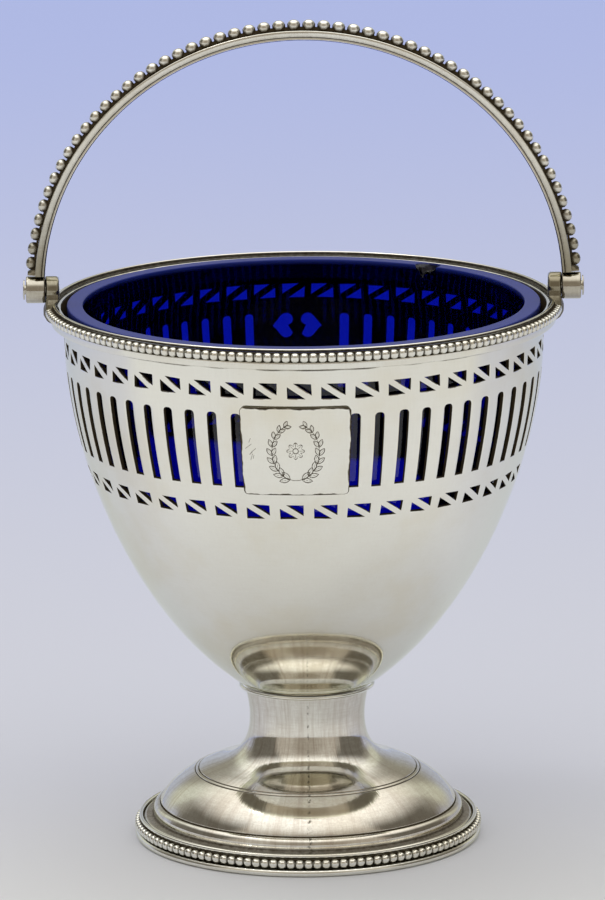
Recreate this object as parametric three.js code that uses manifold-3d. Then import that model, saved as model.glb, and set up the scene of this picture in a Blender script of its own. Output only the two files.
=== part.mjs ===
// A pierced silver sugar basket with a swing handle, a pedestal foot and a lift-out glass liner.
// Millimetres, +Z up. The origin is on the table, under the middle of the foot.
// Angles round the basket are counted from the front, -Y, towards the right, +X.

import * as THREE from 'three';
import { mergeVertices } from 'three/addons/utils/BufferGeometryUtils.js';
import Module from 'manifold-3d';

const wasm = await Module();
wasm.setup();

// Fits, sheet and cuts. The flatness is how far the cut mesh may leave the exact form.
const seatGap = 0.3;
const silverSheet = 0.9;
const cutOverrun = 6;
const meshFlatness = 0.01;

// Foot, from the table up
const baseWireRadius = 36.6;
const baseWireWidth = 3.1;
const baseWireHeight = 1.55;
const baseWireRound = 0.5;
const footBeadSize = 1.75;
const footBeadPitch = 1.83;
const footBeadInset = 0.65;
const footBeadStrip = 0.95;
const footEdgeWireRadius = 0.4;
const flangeRise = 0.8;
const flangeWidth = 1.7;
const coveInset = 2.6;
const coveRise = 1.2;
const domeInset = 0.7;
const domeStep = 1.7;
const domeShoulderOut = 2.1;
const domeShoulderRise = 4.2;
const domeCrownReach = 4.2;
const domeCrownDrop = 1.2;
const flareRadius = 20;
const domeRise = 8.3;
const flareReach = 5;
const flareRise = 1.5;
const waistRadius = 12.15;
const waistDrop = 6.9;
const waistReach = 6.5;
const stemInset = 0.6;
const stemTopReach = 3.2;
const collarWireRadius = 0.5;

// Bowl
const bowlBaseHeight = 33.2;
const bowlBaseRadius = 13.8;
const bowlBaseHandleOut = 25.1;
const bowlBaseHandleUp = 17.2;
const neckHeight = 111;
const neckRadius = 50.07;
const neckHandleOut = 1.31;
const neckHandleDown = 21.9;
const lipFlare = 1.6;
const lipSlopeHeight = 2.9;
const lipStand = 0.55;

// Rim wires
const rimBeadSize = 1.7;
const rimBeadPitch = 1.86;
const rimBeadStrip = 1.33;
const rimBeadSeat = 0.15;
const rimEdgeWireRadius = 0.42;
const rimUnderWireRadius = 0.9;

// Piercing, from the neck down
const upperSquareDrop = 3.3;
const upperSquareHeight = 3.15;
const upperSquareWidth = 4.9;
const upperSquarePitch = 6.7;
const upperSquareTurn = 6.5;
const upperSquareSwellShare = 0.045;
const lowerSquareDrop = 3.8;
const lowerSquareHeight = 3;
const lowerSquareWidth = 4.8;
const lowerSquarePitch = 6.9;
const lowerSquareTurn = 5.3;
const squareBarWidth = 1.45;
const slotDrop = 3.35;
const slotHeight = 16;
const slotWidth = 2.1;
const slotShoulder = 0.65;
const slotPitch = 5.15;
const frontReserveTurn = -2.2;
const frontReserveWidth = 24.1;
const backReserveTurn = 181.7;
const backReserveWidth = 20.8;
const heartWidth = 4.8;
const heartHeight = 5.4;
const heartOffset = 3.3;
const heartSlotDrop = 2.7;
const backRise = 1.3;

// Plate soldered over the front reserve
const plateWidth = 22.2;
const plateLapBelow = 1.1;
const plateLapAbove = 1.65;
const plateThickness = 0.5;
const plateCorner = 1.2;

// Glass liner
const linerClearance = 0.5;
const linerWall = 2.4;
const linerRimWidth = 3.3;
const linerRimGap = 1.27;
const linerRimRise = 0.3;
const linerLipHeight = 2.2;
const linerHeel = 4.84;
const linerFloorRise = 1.88;

// Hinge at each side
const barrelRadius = 2.82;
const barrelLength = 4;
const pinRadius = 1;
const pinHeadRadius = 2.1;
const pinHeadThickness = 0.45;
const lugThickness = 2.6;
const lugRootWidth = 7.8;
const lugRootStep = 0.5;
const pivotRise = 2.28;

// Bail, measured from its pivots
const bailInnerRise = 52.5;
const strapThickness = 2.05;
const strapWidth = 3.8;
const strapSetback = 0.1;
const strapReedThickness = 0.6;
const strapReedInset = 0.35;
const bailBeadSize = 2.3;
const bailBeadHeight = 1.85;
const bailBeadPitch = 3.05;
const bailBeadStart = 5.6;
const bailStubHeight = 1.5;

// Sizes that follow
const fullTurn = 2 * Math.PI;
const degree = Math.PI / 180;
const lipRadius = neckRadius + lipFlare;
const lipTop = neckHeight + lipSlopeHeight + lipStand;
const rimBeadCircle = lipRadius + seatGap + rimBeadStrip;
const rimUnderWireHeight = neckHeight + rimUnderWireRadius;
const rimBeadHeight = rimUnderWireHeight + rimUnderWireRadius + rimBeadSeat + rimBeadSize / 2;
const rimEdgeWireCircle = lipRadius + seatGap + rimEdgeWireRadius / 2;
const rimEdgeWireHeight = rimBeadHeight + rimBeadSize / 2 + rimEdgeWireRadius;
const rimTop = rimEdgeWireHeight + rimEdgeWireRadius;
const pivotHeight = rimTop + pivotRise;
const lugInnerFace = lipRadius - silverSheet + seatGap;
const lugOuterFace = lugInnerFace + lugThickness;
const barrelInnerFace = lugOuterFace + seatGap;
const barrelOuterFace = barrelInnerFace + barrelLength;
const boreRadius = pinRadius + seatGap;
const bailHalfSpan = barrelInnerFace + strapSetback;
const footBeadCircle = baseWireRadius - footBeadInset;
const footBeadHeight = baseWireHeight + seatGap + footBeadSize / 2;
const shellEdgeRadius = footBeadCircle - footBeadStrip - seatGap;
const footEdgeWireCircle = shellEdgeRadius + seatGap + footEdgeWireRadius;
const footEdgeWireHeight = footBeadHeight + footBeadSize / 2 + seatGap + footEdgeWireRadius;
const flangeHeight = footBeadHeight + footBeadSize / 2 + flangeRise;
const coveRadius = shellEdgeRadius - coveInset;
const coveHeight = flangeHeight + coveRise;
const domeRadius = coveRadius - domeInset;
const domeHeight = coveHeight + domeStep;
const flareHeight = domeHeight + domeRise;
const stemTopRadius = bowlBaseRadius - stemInset;
const stemTopHeight = bowlBaseHeight - seatGap;
const waistHeight = stemTopHeight - waistDrop;
const collarCircle = stemTopRadius + seatGap + collarWireRadius;
const collarHeight = stemTopHeight - seatGap;
const rimUnderWireCircle = neckRadius + lipFlare / 2 + seatGap + rimUnderWireRadius;
const upperSquareBase = neckHeight - upperSquareDrop - upperSquareHeight;
const slotBase = upperSquareBase - slotDrop - slotHeight;
const lowerSquareBase = slotBase - lowerSquareDrop - lowerSquareHeight;
const plateBase = slotBase - plateLapBelow;
const plateHeight = plateLapBelow + slotHeight + plateLapAbove;
const roundSegments = 32;

// Materials
const silver = { color: 0xd9d5c8, roughness: 0.28, metalness: 1 };
const cobalt = { color: 0x1b2480, roughness: 0.06, metalness: 0, transparent: true, opacity: 0.55 };

const basket = new THREE.Group();

function addPiece(name, geometry, finish, parent = basket) {
  const mesh = new THREE.Mesh(geometry, new THREE.MeshStandardMaterial(finish));
  mesh.name = name;
  parent.add(mesh);
  return mesh;
}

// A closed mesh as a solid that can be joined and cut
const weldShare = 0.01;
function toSolid(geometry) {
  const bare = geometry.clone();
  bare.deleteAttribute('normal');
  bare.deleteAttribute('uv');
  const merged = mergeVertices(bare, meshFlatness * weldShare);
  const corners = [];
  const index = merged.index.array;
  for (let i = 0; i < index.length; i += 3) {
    const [a, b, c] = [index[i], index[i + 1], index[i + 2]];
    if (a !== b && b !== c && c !== a) {
      corners.push(a, b, c);
    }
  }
  return new wasm.Manifold(new wasm.Mesh({
    numProp: 3,
    vertProperties: new Float32Array(merged.attributes.position.array),
    triVerts: new Uint32Array(corners),
  }));
}

function toGeometry(solid) {
  const mesh = solid.getMesh();
  const positions = new Float32Array(mesh.vertProperties);
  const corners = new Uint32Array(mesh.triVerts);
  const geometry = new THREE.BufferGeometry();
  geometry.setAttribute('position', new THREE.BufferAttribute(positions, 3));
  geometry.setIndex(new THREE.BufferAttribute(corners, 1));
  geometry.computeVertexNormals();
  return geometry;
}

// A profile of [radius, height] points turned about the Z axis. The profile runs with the
// material on its left, so that the faces point out.
function turned(profile, segments) {
  const points = profile.map(([radius, height]) => new THREE.Vector2(radius, height));
  const geometry = new THREE.LatheGeometry(points, segments);
  geometry.rotateX(Math.PI / 2);
  return toGeometry(toSolid(geometry));
}

// A round wire bent into a ring
function wireRing(circleRadius, height, wireRadius, sides, segments) {
  const profile = [];
  for (let i = 0; i <= sides; i += 1) {
    const angle = fullTurn * (i % sides + 0.5) / sides;
    profile.push([circleRadius + wireRadius * Math.cos(angle), height + wireRadius * Math.sin(angle)]);
  }
  return turned(profile, segments);
}

// A skin over rings of points, which all have the same number of points. The rings close on
// each other in a loop, or have flat ends.
function loft(rings, loop) {
  const sides = rings[0].length;
  const count = rings.length;
  const positions = rings.flat().flatMap((point) => point.toArray());
  const index = [];
  for (let i = 0; i < (loop ? count : count - 1); i += 1) {
    for (let j = 0; j < sides; j += 1) {
      const a = i * sides + j;
      const b = i * sides + (j + 1) % sides;
      const c = ((i + 1) % count) * sides + (j + 1) % sides;
      const d = ((i + 1) % count) * sides + j;
      index.push(a, b, c, a, c, d);
    }
  }
  if (!loop) {
    const end = (count - 1) * sides;
    for (let j = 1; j < sides - 1; j += 1) {
      index.push(0, j + 1, j);
      index.push(end, end + j, end + j + 1);
    }
  }
  const geometry = new THREE.BufferGeometry();
  geometry.setAttribute('position', new THREE.Float32BufferAttribute(positions, 3));
  geometry.setIndex(index);
  geometry.computeVertexNormals();
  return geometry;
}

// A beaded wire in a level ring, flat behind: its section swells at each bead and narrows
// between them. The circle is the one through the middles of the beads.
const beadWaistShare = 0.5;
function beadRing(circleRadius, height, size, strip, pitch) {
  const beads = Math.round(fullTurn * circleRadius / pitch);
  const rings = [];
  for (let i = 0; i < 2 * beads; i += 1) {
    const half = (i % 2 ? 1 : beadWaistShare) * size / 2;
    const angle = Math.PI * i / beads;
    const section = [[-strip, half], [half, 0], [-strip, -half]];
    rings.push(section.map(([out, up]) => new THREE.Vector3(
      (circleRadius + out) * Math.sin(angle),
      -(circleRadius + out) * Math.cos(angle),
      height + up,
    )));
  }
  return loft(rings, true);
}

// A point of a curve, moved square to the curve. Positive distances go to the left of its run.
function offsetPoint(curve, share, distance) {
  const point = curve.getPoint(share);
  const tangent = curve.getTangent(share);
  return [point.x - tangent.y * distance, point.y + tangent.x * distance];
}

function offsetCurve(curve, steps, distance) {
  const points = [];
  for (let i = 0; i <= steps; i += 1) {
    points.push(offsetPoint(curve, i / steps, distance));
  }
  return points;
}

// Foot: a plain wire on the table, a beaded wire, a fine wire, and the raised shell behind them
function makeBaseWire() {
  const inner = baseWireRadius - baseWireWidth;
  return turned([
    [inner, 0],
    [baseWireRadius - baseWireRound, 0],
    [baseWireRadius, baseWireHeight / 2],
    [baseWireRadius - baseWireRound, baseWireHeight],
    [inner, baseWireHeight],
    [inner, 0],
  ], roundSegments);
}

const waistCurve = new THREE.CubicBezierCurve(
  new THREE.Vector2(stemTopRadius, stemTopHeight),
  new THREE.Vector2(waistRadius + seatGap, stemTopHeight - stemTopReach),
  new THREE.Vector2(waistRadius, waistHeight + stemTopReach / 2),
  new THREE.Vector2(waistRadius, waistHeight),
);
const flareCurve = new THREE.CubicBezierCurve(
  new THREE.Vector2(waistRadius, waistHeight),
  new THREE.Vector2(waistRadius, waistHeight - waistReach),
  new THREE.Vector2(flareRadius - flareReach, flareHeight + flareRise),
  new THREE.Vector2(flareRadius, flareHeight),
);
const domeCurve = new THREE.CubicBezierCurve(
  new THREE.Vector2(flareRadius, flareHeight),
  new THREE.Vector2(flareRadius + domeCrownReach, flareHeight - domeCrownDrop),
  new THREE.Vector2(domeRadius - domeShoulderOut, domeHeight + domeShoulderRise),
  new THREE.Vector2(domeRadius, domeHeight),
);

function makeFootShell() {
  const shellBase = baseWireHeight + seatGap;
  const outside = [
    [shellEdgeRadius, shellBase],
    [shellEdgeRadius, flangeHeight],
    [shellEdgeRadius - flangeWidth, flangeHeight],
    [coveRadius, coveHeight],
    ...offsetCurve(domeCurve, 3, 0).reverse(),
    ...offsetCurve(flareCurve, 4, 0).reverse().slice(1),
    ...offsetCurve(waistCurve, 2, 0).reverse().slice(1),
  ];
  const inside = [
    ...offsetCurve(waistCurve, 1, -silverSheet),
    ...offsetCurve(flareCurve, 3, -silverSheet).slice(1),
    ...offsetCurve(domeCurve, 2, -silverSheet).slice(1),
    [coveRadius - silverSheet, coveHeight - silverSheet],
    [shellEdgeRadius - flangeWidth, flangeHeight - silverSheet],
    [shellEdgeRadius - silverSheet, flangeHeight - silverSheet],
    [shellEdgeRadius - silverSheet, shellBase],
  ];
  inside[0] = [stemTopRadius - silverSheet, stemTopHeight];
  return turned([...outside, ...inside, outside[0]], roundSegments);
}

// Bowl: the outside of the wall is one curve from the foot to the neck
const bowlCurve = new THREE.CubicBezierCurve(
  new THREE.Vector2(bowlBaseRadius, bowlBaseHeight),
  new THREE.Vector2(bowlBaseRadius + bowlBaseHandleOut, bowlBaseHeight + bowlBaseHandleUp),
  new THREE.Vector2(neckRadius + neckHandleOut, neckHeight - neckHandleDown),
  new THREE.Vector2(neckRadius, neckHeight),
);

// The share of the curve at which it reaches a height, by halving
function bowlShareAt(height) {
  let low = 0;
  let high = 1;
  for (let i = 0; i < 40; i += 1) {
    const middle = (low + high) / 2;
    if (bowlCurve.getPoint(middle).y < height) {
      low = middle;
    } else {
      high = middle;
    }
  }
  return (low + high) / 2;
}

function bowlRadiusAt(height) {
  return bowlCurve.getPoint(bowlShareAt(height)).x;
}

// Heights of the wall's facet rows: even steps below the piercing, then rows that part the bands
const lowerBowlRows = 4;
const bandHeights = [
  lowerSquareBase - squareBarWidth,
  (lowerSquareBase + lowerSquareHeight + slotBase) / 2,
  (slotBase + slotHeight + upperSquareBase) / 2,
  neckHeight,
];

function lowerBowlShares() {
  const top = bowlShareAt(bandHeights[0]);
  return Array.from({ length: lowerBowlRows }, (_, i) => top * i / lowerBowlRows);
}

function makeBowl() {
  const shares = [...lowerBowlShares(), ...bandHeights.map(bowlShareAt)];
  const outside = shares.map((share) => offsetPoint(bowlCurve, share, 0));
  const inside = shares.map((share) => offsetPoint(bowlCurve, share, silverSheet)).reverse();
  const lip = [
    [lipRadius, neckHeight + lipSlopeHeight],
    [lipRadius, lipTop],
    [lipRadius - silverSheet, lipTop],
    [lipRadius - silverSheet, neckHeight + lipSlopeHeight],
  ];
  const floor = inside[inside.length - 1][1];
  const profile = [[0, bowlBaseHeight], ...outside, ...lip, ...inside, [0, floor]];
  let solid = toSolid(turned(profile, roundSegments));
  const cutters = [...squareCutters(), ...slotCutters(), ...heartCutters()];
  for (const cutter of cutters) {
    solid = solid.subtract(cutter);
  }
  return toGeometry(solid.asOriginal().simplify(meshFlatness));
}

// A cutter that passes through the wall along a radius. Its outline is drawn as seen from
// outside, with x to the right and y up, about a point of the wall. The hand-marked bands
// climb a little towards the back.
function wallCutter(outline, turn, height) {
  const rise = backRise * ((1 - Math.cos(turn * degree)) / 2) ** 2;
  const shape = new THREE.Shape(outline.map(([x, y]) => new THREE.Vector2(x, y)));
  const depth = silverSheet + 2 * cutOverrun;
  const geometry = new THREE.ExtrudeGeometry(shape, { depth, bevelEnabled: false });
  geometry.translate(0, 0, -cutOverrun - silverSheet);
  geometry.rotateX(Math.PI / 2);
  geometry.translate(0, -bowlRadiusAt(height), height + rise);
  geometry.rotateZ(turn * degree);
  return toSolid(geometry);
}

// Each square is two triangles with a bar between them that falls from left to right
function squareOutlines(width, height) {
  const diagonal = Math.hypot(width, height);
  const barAcross = squareBarWidth * diagonal / height / 2;
  const barUp = squareBarWidth * diagonal / width / 2;
  const [x, y] = [width / 2, height / 2];
  return [
    [[-x, -y], [x - barAcross, -y], [-x, y - barUp]],
    [[x, y], [-x + barAcross, y], [x, -y + barUp]],
  ];
}

// The upper squares stand a little wider apart in front than behind
function squareCutters() {
  const bands = [
    [upperSquareBase, upperSquareWidth, upperSquareHeight, upperSquareTurn,
      Math.round(fullTurn * neckRadius / upperSquarePitch), upperSquareSwellShare],
    [lowerSquareBase, lowerSquareWidth, lowerSquareHeight, lowerSquareTurn,
      Math.round(fullTurn * bowlRadiusAt(lowerSquareBase) / lowerSquarePitch), 0],
  ];
  const cutters = [];
  for (const [base, width, height, start, count, swell] of bands) {
    for (let i = 0; i < count; i += 1) {
      const even = start + 360 * i / count;
      const turn = even + swell * Math.sin(even * degree) / degree;
      for (const outline of squareOutlines(width, height)) {
        cutters.push(wallCutter(outline, turn, base + height / 2));
      }
    }
  }
  return cutters;
}

// Slots fill the wall evenly from one reserve to the other, on each side
function slotTurns() {
  const radius = bowlRadiusAt(slotBase + slotHeight / 2);
  const frontHalf = frontReserveWidth / 2 / radius / degree;
  const backHalf = backReserveWidth / 2 / radius / degree;
  const pitch = slotPitch / radius / degree;
  const runs = [
    [frontReserveTurn + frontHalf, backReserveTurn - backHalf],
    [backReserveTurn + backHalf, 360 + frontReserveTurn - frontHalf],
  ];
  return runs.flatMap(([from, to]) => {
    const gaps = Math.round((to - from) / pitch);
    return Array.from({ length: gaps + 1 }, (_, i) => from + (to - from) * i / gaps);
  });
}

function slotCutters() {
  const [x, y] = [slotWidth / 2, slotHeight / 2];
  const outline = [
    [-x, -y],
    [x, -y],
    [x, y - slotShoulder],
    [x - slotShoulder, y],
    [-x + slotShoulder, y],
    [-x, y - slotShoulder],
  ];
  return slotTurns().map((turn) => wallCutter(outline, turn, slotBase + slotHeight / 2));
}

// Two hearts lie on their sides in the back reserve, with their points outwards
const heartOutlineShares = [
  [0.5, 0], [0.05, 0.42], [-0.25, 0.5], [-0.45, 0.36], [-0.5, 0.18], [-0.36, 0],
  [-0.5, -0.18], [-0.45, -0.36], [-0.25, -0.5], [0.05, -0.42],
];
function heartCutters() {
  const height = slotBase + slotHeight - heartSlotDrop;
  const outline = heartOutlineShares.map(([x, y]) => [x * heartWidth, y * heartHeight]);
  const mirrored = outline.map(([x, y]) => [-x, y]).reverse();
  const offsetTurn = heartOffset / bowlRadiusAt(height) / degree;
  return [
    wallCutter(mirrored, backReserveTurn - offsetTurn, height),
    wallCutter(outline.toReversed(), backReserveTurn + offsetTurn, height),
  ];
}

// The plate follows the wall. Its end columns are shorter, which cuts its corners.
function makeReservePlate() {
  const middle = plateBase + plateHeight / 2;
  const halfTurn = plateWidth / 2 / bowlRadiusAt(middle);
  const cornerTurn = plateCorner / bowlRadiusAt(middle);
  const inner = halfTurn - cornerTurn;
  const columns = [-halfTurn, ...[-1, -0.5, 0, 0.5, 1].map((share) => share * inner), halfTurn];
  const rings = columns.map((turn, i) => {
    const cut = i === 0 || i === columns.length - 1 ? plateCorner : 0;
    const heights = [plateBase + cut, middle, plateBase + plateHeight - cut];
    const angle = frontReserveTurn * degree + turn;
    const point = (height, lift) => {
      const [radius, level] = offsetPoint(bowlCurve, bowlShareAt(height), -lift);
      return new THREE.Vector3(radius * Math.sin(angle), -radius * Math.cos(angle), level);
    };
    const front = heights.map((height) => point(height, seatGap + plateThickness)).reverse();
    const back = heights.map((height) => point(height, seatGap));
    return [...front, ...back];
  });
  return loft(rings, false);
}

// Glass liner: an open cup that follows the bowl inside, with a flat ground rim
function makeLiner() {
  const outerInset = silverSheet + linerClearance;
  const innerInset = outerInset + linerWall;
  const wallShares = [...lowerBowlShares().slice(1), ...[slotBase, neckHeight].map(bowlShareAt)];
  const outside = wallShares.map((share) => offsetPoint(bowlCurve, share, outerInset));
  const inside = wallShares.map((share) => offsetPoint(bowlCurve, share, innerInset)).reverse();
  const rimRadius = lipRadius - silverSheet - linerRimGap;
  const rimHeight = lipTop + linerRimRise;
  const [heelRadius, heelHeight] = outside[0];
  const [floorRadius, floorHeight] = inside[inside.length - 1];
  return turned([
    [0, heelHeight - linerClearance],
    [heelRadius - linerHeel, heelHeight - linerClearance],
    ...outside,
    [rimRadius, rimHeight - linerLipHeight],
    [rimRadius, rimHeight],
    [rimRadius - linerRimWidth, rimHeight],
    ...inside,
    [floorRadius - linerHeel, floorHeight + linerFloorRise],
    [0, floorHeight + linerFloorRise],
  ], roundSegments);
}

// Hinge: a lug on the rim, a barrel on the bail, and a pin through both
function cylinderWithBore(radius, length) {
  const shape = new THREE.Shape();
  shape.absarc(0, 0, radius, 0, fullTurn);
  const bore = new THREE.Path();
  bore.absarc(0, 0, boreRadius, 0, fullTurn, true);
  shape.holes.push(bore);
  const options = { depth: length, bevelEnabled: false, curveSegments: 6 };
  return new THREE.ExtrudeGeometry(shape, options);
}

// The lug is drawn in the YZ plane about the pivot: a round head on a root that spreads
// where it stands on the rim
const lugShoulderShare = 0.35;
function makeLug() {
  const root = rimTop + seatGap - pivotHeight;
  const half = lugRootWidth / 2;
  const shoulder = Math.asin(lugShoulderShare);
  const shape = new THREE.Shape();
  shape.moveTo(-half, root);
  shape.lineTo(half, root);
  shape.lineTo(half - lugRootStep, root + lugRootStep);
  shape.absarc(0, 0, barrelRadius, -shoulder, Math.PI + shoulder);
  shape.lineTo(-half + lugRootStep, root + lugRootStep);
  shape.closePath();
  const bore = new THREE.Path();
  bore.absarc(0, 0, boreRadius, 0, fullTurn, true);
  shape.holes.push(bore);
  const options = { depth: lugThickness, bevelEnabled: false, curveSegments: 7 };
  return new THREE.ExtrudeGeometry(shape, options);
}

function makePin() {
  const length = seatGap + barrelOuterFace - lugInnerFace;
  return turned([
    [0, 0],
    [pinRadius, 0],
    [pinRadius, length],
    [pinHeadRadius, length],
    [pinHeadRadius, length + pinHeadThickness],
    [0, length + pinHeadThickness],
  ], 12);
}

// Turns a piece that is drawn about Z so that it lies along X, out from the given distance
function alongSide(geometry, distance, side) {
  const placed = geometry.clone();
  placed.rotateZ(Math.PI / 2);
  placed.rotateY(Math.PI / 2);
  placed.translate(distance, 0, pivotHeight);
  if (side < 0) {
    placed.rotateZ(Math.PI);
  }
  return placed;
}

// Bail: the inside of the strap is half an ellipse that stands on the pivots
function bailPoint(share, lift, across) {
  const angle = Math.PI * share;
  const x = -bailHalfSpan * Math.cos(angle);
  const z = bailInnerRise * Math.sin(angle);
  const normal = new THREE.Vector2(x / bailHalfSpan ** 2, z / bailInnerRise ** 2).normalize();
  return new THREE.Vector3(x + normal.x * lift, across, pivotHeight + z + normal.y * lift);
}

// Shares of the half turn at equal steps of length along the bail, between two end lengths
function bailShares(startLength, steps) {
  const samples = 720;
  const lengths = [0];
  for (let i = 1; i <= samples; i += 1) {
    const step = bailPoint(i / samples, strapThickness, 0).distanceTo(
      bailPoint((i - 1) / samples, strapThickness, 0),
    );
    lengths.push(lengths[i - 1] + step);
  }
  const run = lengths[samples] - 2 * startLength;
  return Array.from({ length: steps + 1 }, (_, i) => {
    const wanted = startLength + run * i / steps;
    const above = Math.max(1, lengths.findIndex((length) => length >= wanted));
    const within = (wanted - lengths[above - 1]) / (lengths[above] - lengths[above - 1]);
    return (above - 1 + within) / samples;
  });
}

const strapSteps = 28;
function makeStrap() {
  const half = strapWidth / 2;
  const reedHalf = half - strapReedInset;
  const section = [
    [0, -reedHalf],
    [0, reedHalf],
    [strapReedThickness, reedHalf],
    [strapReedThickness, half],
    [strapThickness, half],
    [strapThickness, -half],
    [strapReedThickness, -half],
    [strapReedThickness, -reedHalf],
  ];
  const shares = bailShares(barrelRadius + seatGap, strapSteps);
  const ring = (share) => section.map(([lift, across]) => bailPoint(share, lift, across));
  return loft(shares.map(ring), false);
}

// The bail's beaded wire: plain stubs at both ends, then one bead after another
function makeBailBeads() {
  const stub = bailShares(barrelRadius + seatGap, 1);
  const length = (Math.PI / 2) * (bailHalfSpan + bailInnerRise + 2 * strapThickness) - 2 * bailBeadStart;
  const beads = Math.round(length / bailBeadPitch);
  const shares = [stub[0], ...bailShares(bailBeadStart, 2 * beads), stub[1]];
  const rings = shares.map((share, i) => {
    const plain = i === 0 || i === shares.length - 1;
    const swell = i % 2 || plain ? beadWaistShare : 1;
    const low = strapThickness + seatGap;
    const halfAcross = bailBeadSize / 2 * swell;
    const top = low + (plain ? bailStubHeight : bailBeadHeight * (1 + swell) / 2);
    return [
      bailPoint(share, low, -halfAcross),
      bailPoint(share, low, halfAcross),
      bailPoint(share, top, halfAcross / 2),
      bailPoint(share, top, -halfAcross / 2),
    ];
  });
  return loft(rings, false);
}

function makeFoot() {
  const beads = beadRing(footBeadCircle, footBeadHeight, footBeadSize, footBeadStrip, footBeadPitch);
  const edge = wireRing(footEdgeWireCircle, footEdgeWireHeight, footEdgeWireRadius, 3, roundSegments);
  addPiece('foot_base_wire', makeBaseWire(), silver);
  addPiece('foot_bead_wire', beads, silver);
  addPiece('foot_edge_wire', edge, silver);
  addPiece('foot_shell', makeFootShell(), silver);
  addPiece('stem_collar', wireRing(collarCircle, collarHeight, collarWireRadius, 4, 24), silver);
}

function makeRim() {
  const beads = beadRing(rimBeadCircle, rimBeadHeight, rimBeadSize, rimBeadStrip, rimBeadPitch);
  const under = wireRing(rimUnderWireCircle, rimUnderWireHeight, rimUnderWireRadius, 4, roundSegments);
  const edge = wireRing(rimEdgeWireCircle, rimEdgeWireHeight, rimEdgeWireRadius, 3, roundSegments);
  addPiece('rim_under_wire', under, silver);
  addPiece('rim_bead_wire', beads, silver);
  addPiece('rim_edge_wire', edge, silver);
}

function makeHinge(side, name) {
  const barrel = cylinderWithBore(barrelRadius, barrelLength);
  addPiece(`lug_${name}`, alongSide(makeLug(), lugInnerFace, side), silver);
  addPiece(`hinge_pin_${name}`, alongSide(makePin(), lugInnerFace, side), silver);
  addPiece(`bail_barrel_${name}`, alongSide(barrel, barrelInnerFace, side), silver);
}

makeFoot();
addPiece('bowl', makeBowl(), silver);
addPiece('reserve_plate', makeReservePlate(), silver);
makeRim();
makeHinge(-1, 'left');
makeHinge(1, 'right');
addPiece('bail_strap', makeStrap(), silver);
addPiece('bail_bead_wire', makeBailBeads(), silver);
addPiece('glass_liner', makeLiner(), cobalt);

export default basket;
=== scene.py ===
"""A pierced silver sugar basket with a blue glass liner, as smooth surfaces round its frame.

Angles round the basket are turns, counted from the front, -Y, towards the right, +X.
Profiles are written as radius and height. Every shape is worked out as whole arrays.
"""

import math

import bpy
import numpy as np
from bpy.props import FloatProperty, FloatVectorProperty, IntProperty, PointerProperty
from mathutils import Matrix, Vector


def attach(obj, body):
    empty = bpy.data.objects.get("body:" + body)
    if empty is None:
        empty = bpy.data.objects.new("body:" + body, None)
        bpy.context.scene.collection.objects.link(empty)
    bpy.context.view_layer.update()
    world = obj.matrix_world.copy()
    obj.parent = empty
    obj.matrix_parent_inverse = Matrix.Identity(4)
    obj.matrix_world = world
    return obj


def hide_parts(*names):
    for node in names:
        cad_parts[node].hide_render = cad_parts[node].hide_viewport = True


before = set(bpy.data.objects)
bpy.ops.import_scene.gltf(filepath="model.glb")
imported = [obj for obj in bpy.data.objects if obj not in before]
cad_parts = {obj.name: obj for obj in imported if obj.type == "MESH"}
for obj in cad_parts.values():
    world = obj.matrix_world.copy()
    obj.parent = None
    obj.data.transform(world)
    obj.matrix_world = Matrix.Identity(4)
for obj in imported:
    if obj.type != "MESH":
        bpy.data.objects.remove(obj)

bl_info = {
    "name": "Sugar basket",
    "version": (1, 0, 0),
    "blender": (4, 5, 0),
    "location": "3D View > Sidebar > Basket",
    "description": "Builds a pierced silver sugar basket with a glass liner",
    "category": "Add Mesh",
}

MM = 0.001
TURN = 2 * math.pi


def length(title, millimetres, words):
    """A length property, given in millimetres and kept in metres."""
    return FloatProperty(
        name=title, description=words, default=millimetres * MM, unit="LENGTH", precision=5
    )


def angle(title, degrees, words):
    """An angle property, given in degrees and kept in radians."""
    return FloatProperty(
        name=title, description=words, default=math.radians(degrees), unit="ROTATION"
    )


def share(title, value, words):
    """A plain number from 0 to 1."""
    return FloatProperty(name=title, description=words, default=value, min=0, max=1)


def whole(title, number, words):
    """A whole number of like things."""
    return IntProperty(name=title, description=words, default=number, min=3)


def colour(title, value, words):
    """A linear colour."""
    return FloatVectorProperty(
        name=title, description=words, default=value, size=3, subtype="COLOR", min=0, max=2
    )


class BowlSizes(bpy.types.PropertyGroup):
    """Sizes of the raised bowl"""

    wall: length("Wall", 0.9, "Thickness of the silver sheet")
    base_radius: length("Base radius", 13.8, "Outside radius where the bowl meets the stem")
    base_height: length("Base height", 33.2, "Height of the bowl's base")
    base_out: length("Base handle out", 25.1, "How far the curve's lower handle reaches out")
    base_up: length("Base handle up", 17.2, "How far the curve's lower handle reaches up")
    neck_radius: length("Neck radius", 50.07, "Outside radius at the neck")
    neck_height: length("Neck height", 111, "Height of the neck")
    neck_out: length("Neck handle out", 1.31, "How far the curve's upper handle reaches out")
    neck_down: length("Neck handle down", 21.9, "How far the curve's upper handle reaches down")
    lip_flare: length("Lip flare", 1.6, "How far the lip stands out from the neck")
    lip_slope: length("Lip slope", 2.9, "Height over which the lip flares")
    lip_stand: length("Lip stand", 0.55, "Upright height of the lip above its slope")
    back_rise: length("Back rise", 1.3, "How far the hand-marked bands climb towards the back")
    seam: length("Seam", 110.7, "Height of the broken dark line under the rim wires")
    rise_start: length("Rise start", 52, "Height from which the wall's rows begin to climb")
    rise_low: length("Rise low", 74, "Height from which they climb in full")
    rise_high: length("Rise high", 108.6, "Height up to which they climb in full")


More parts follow.
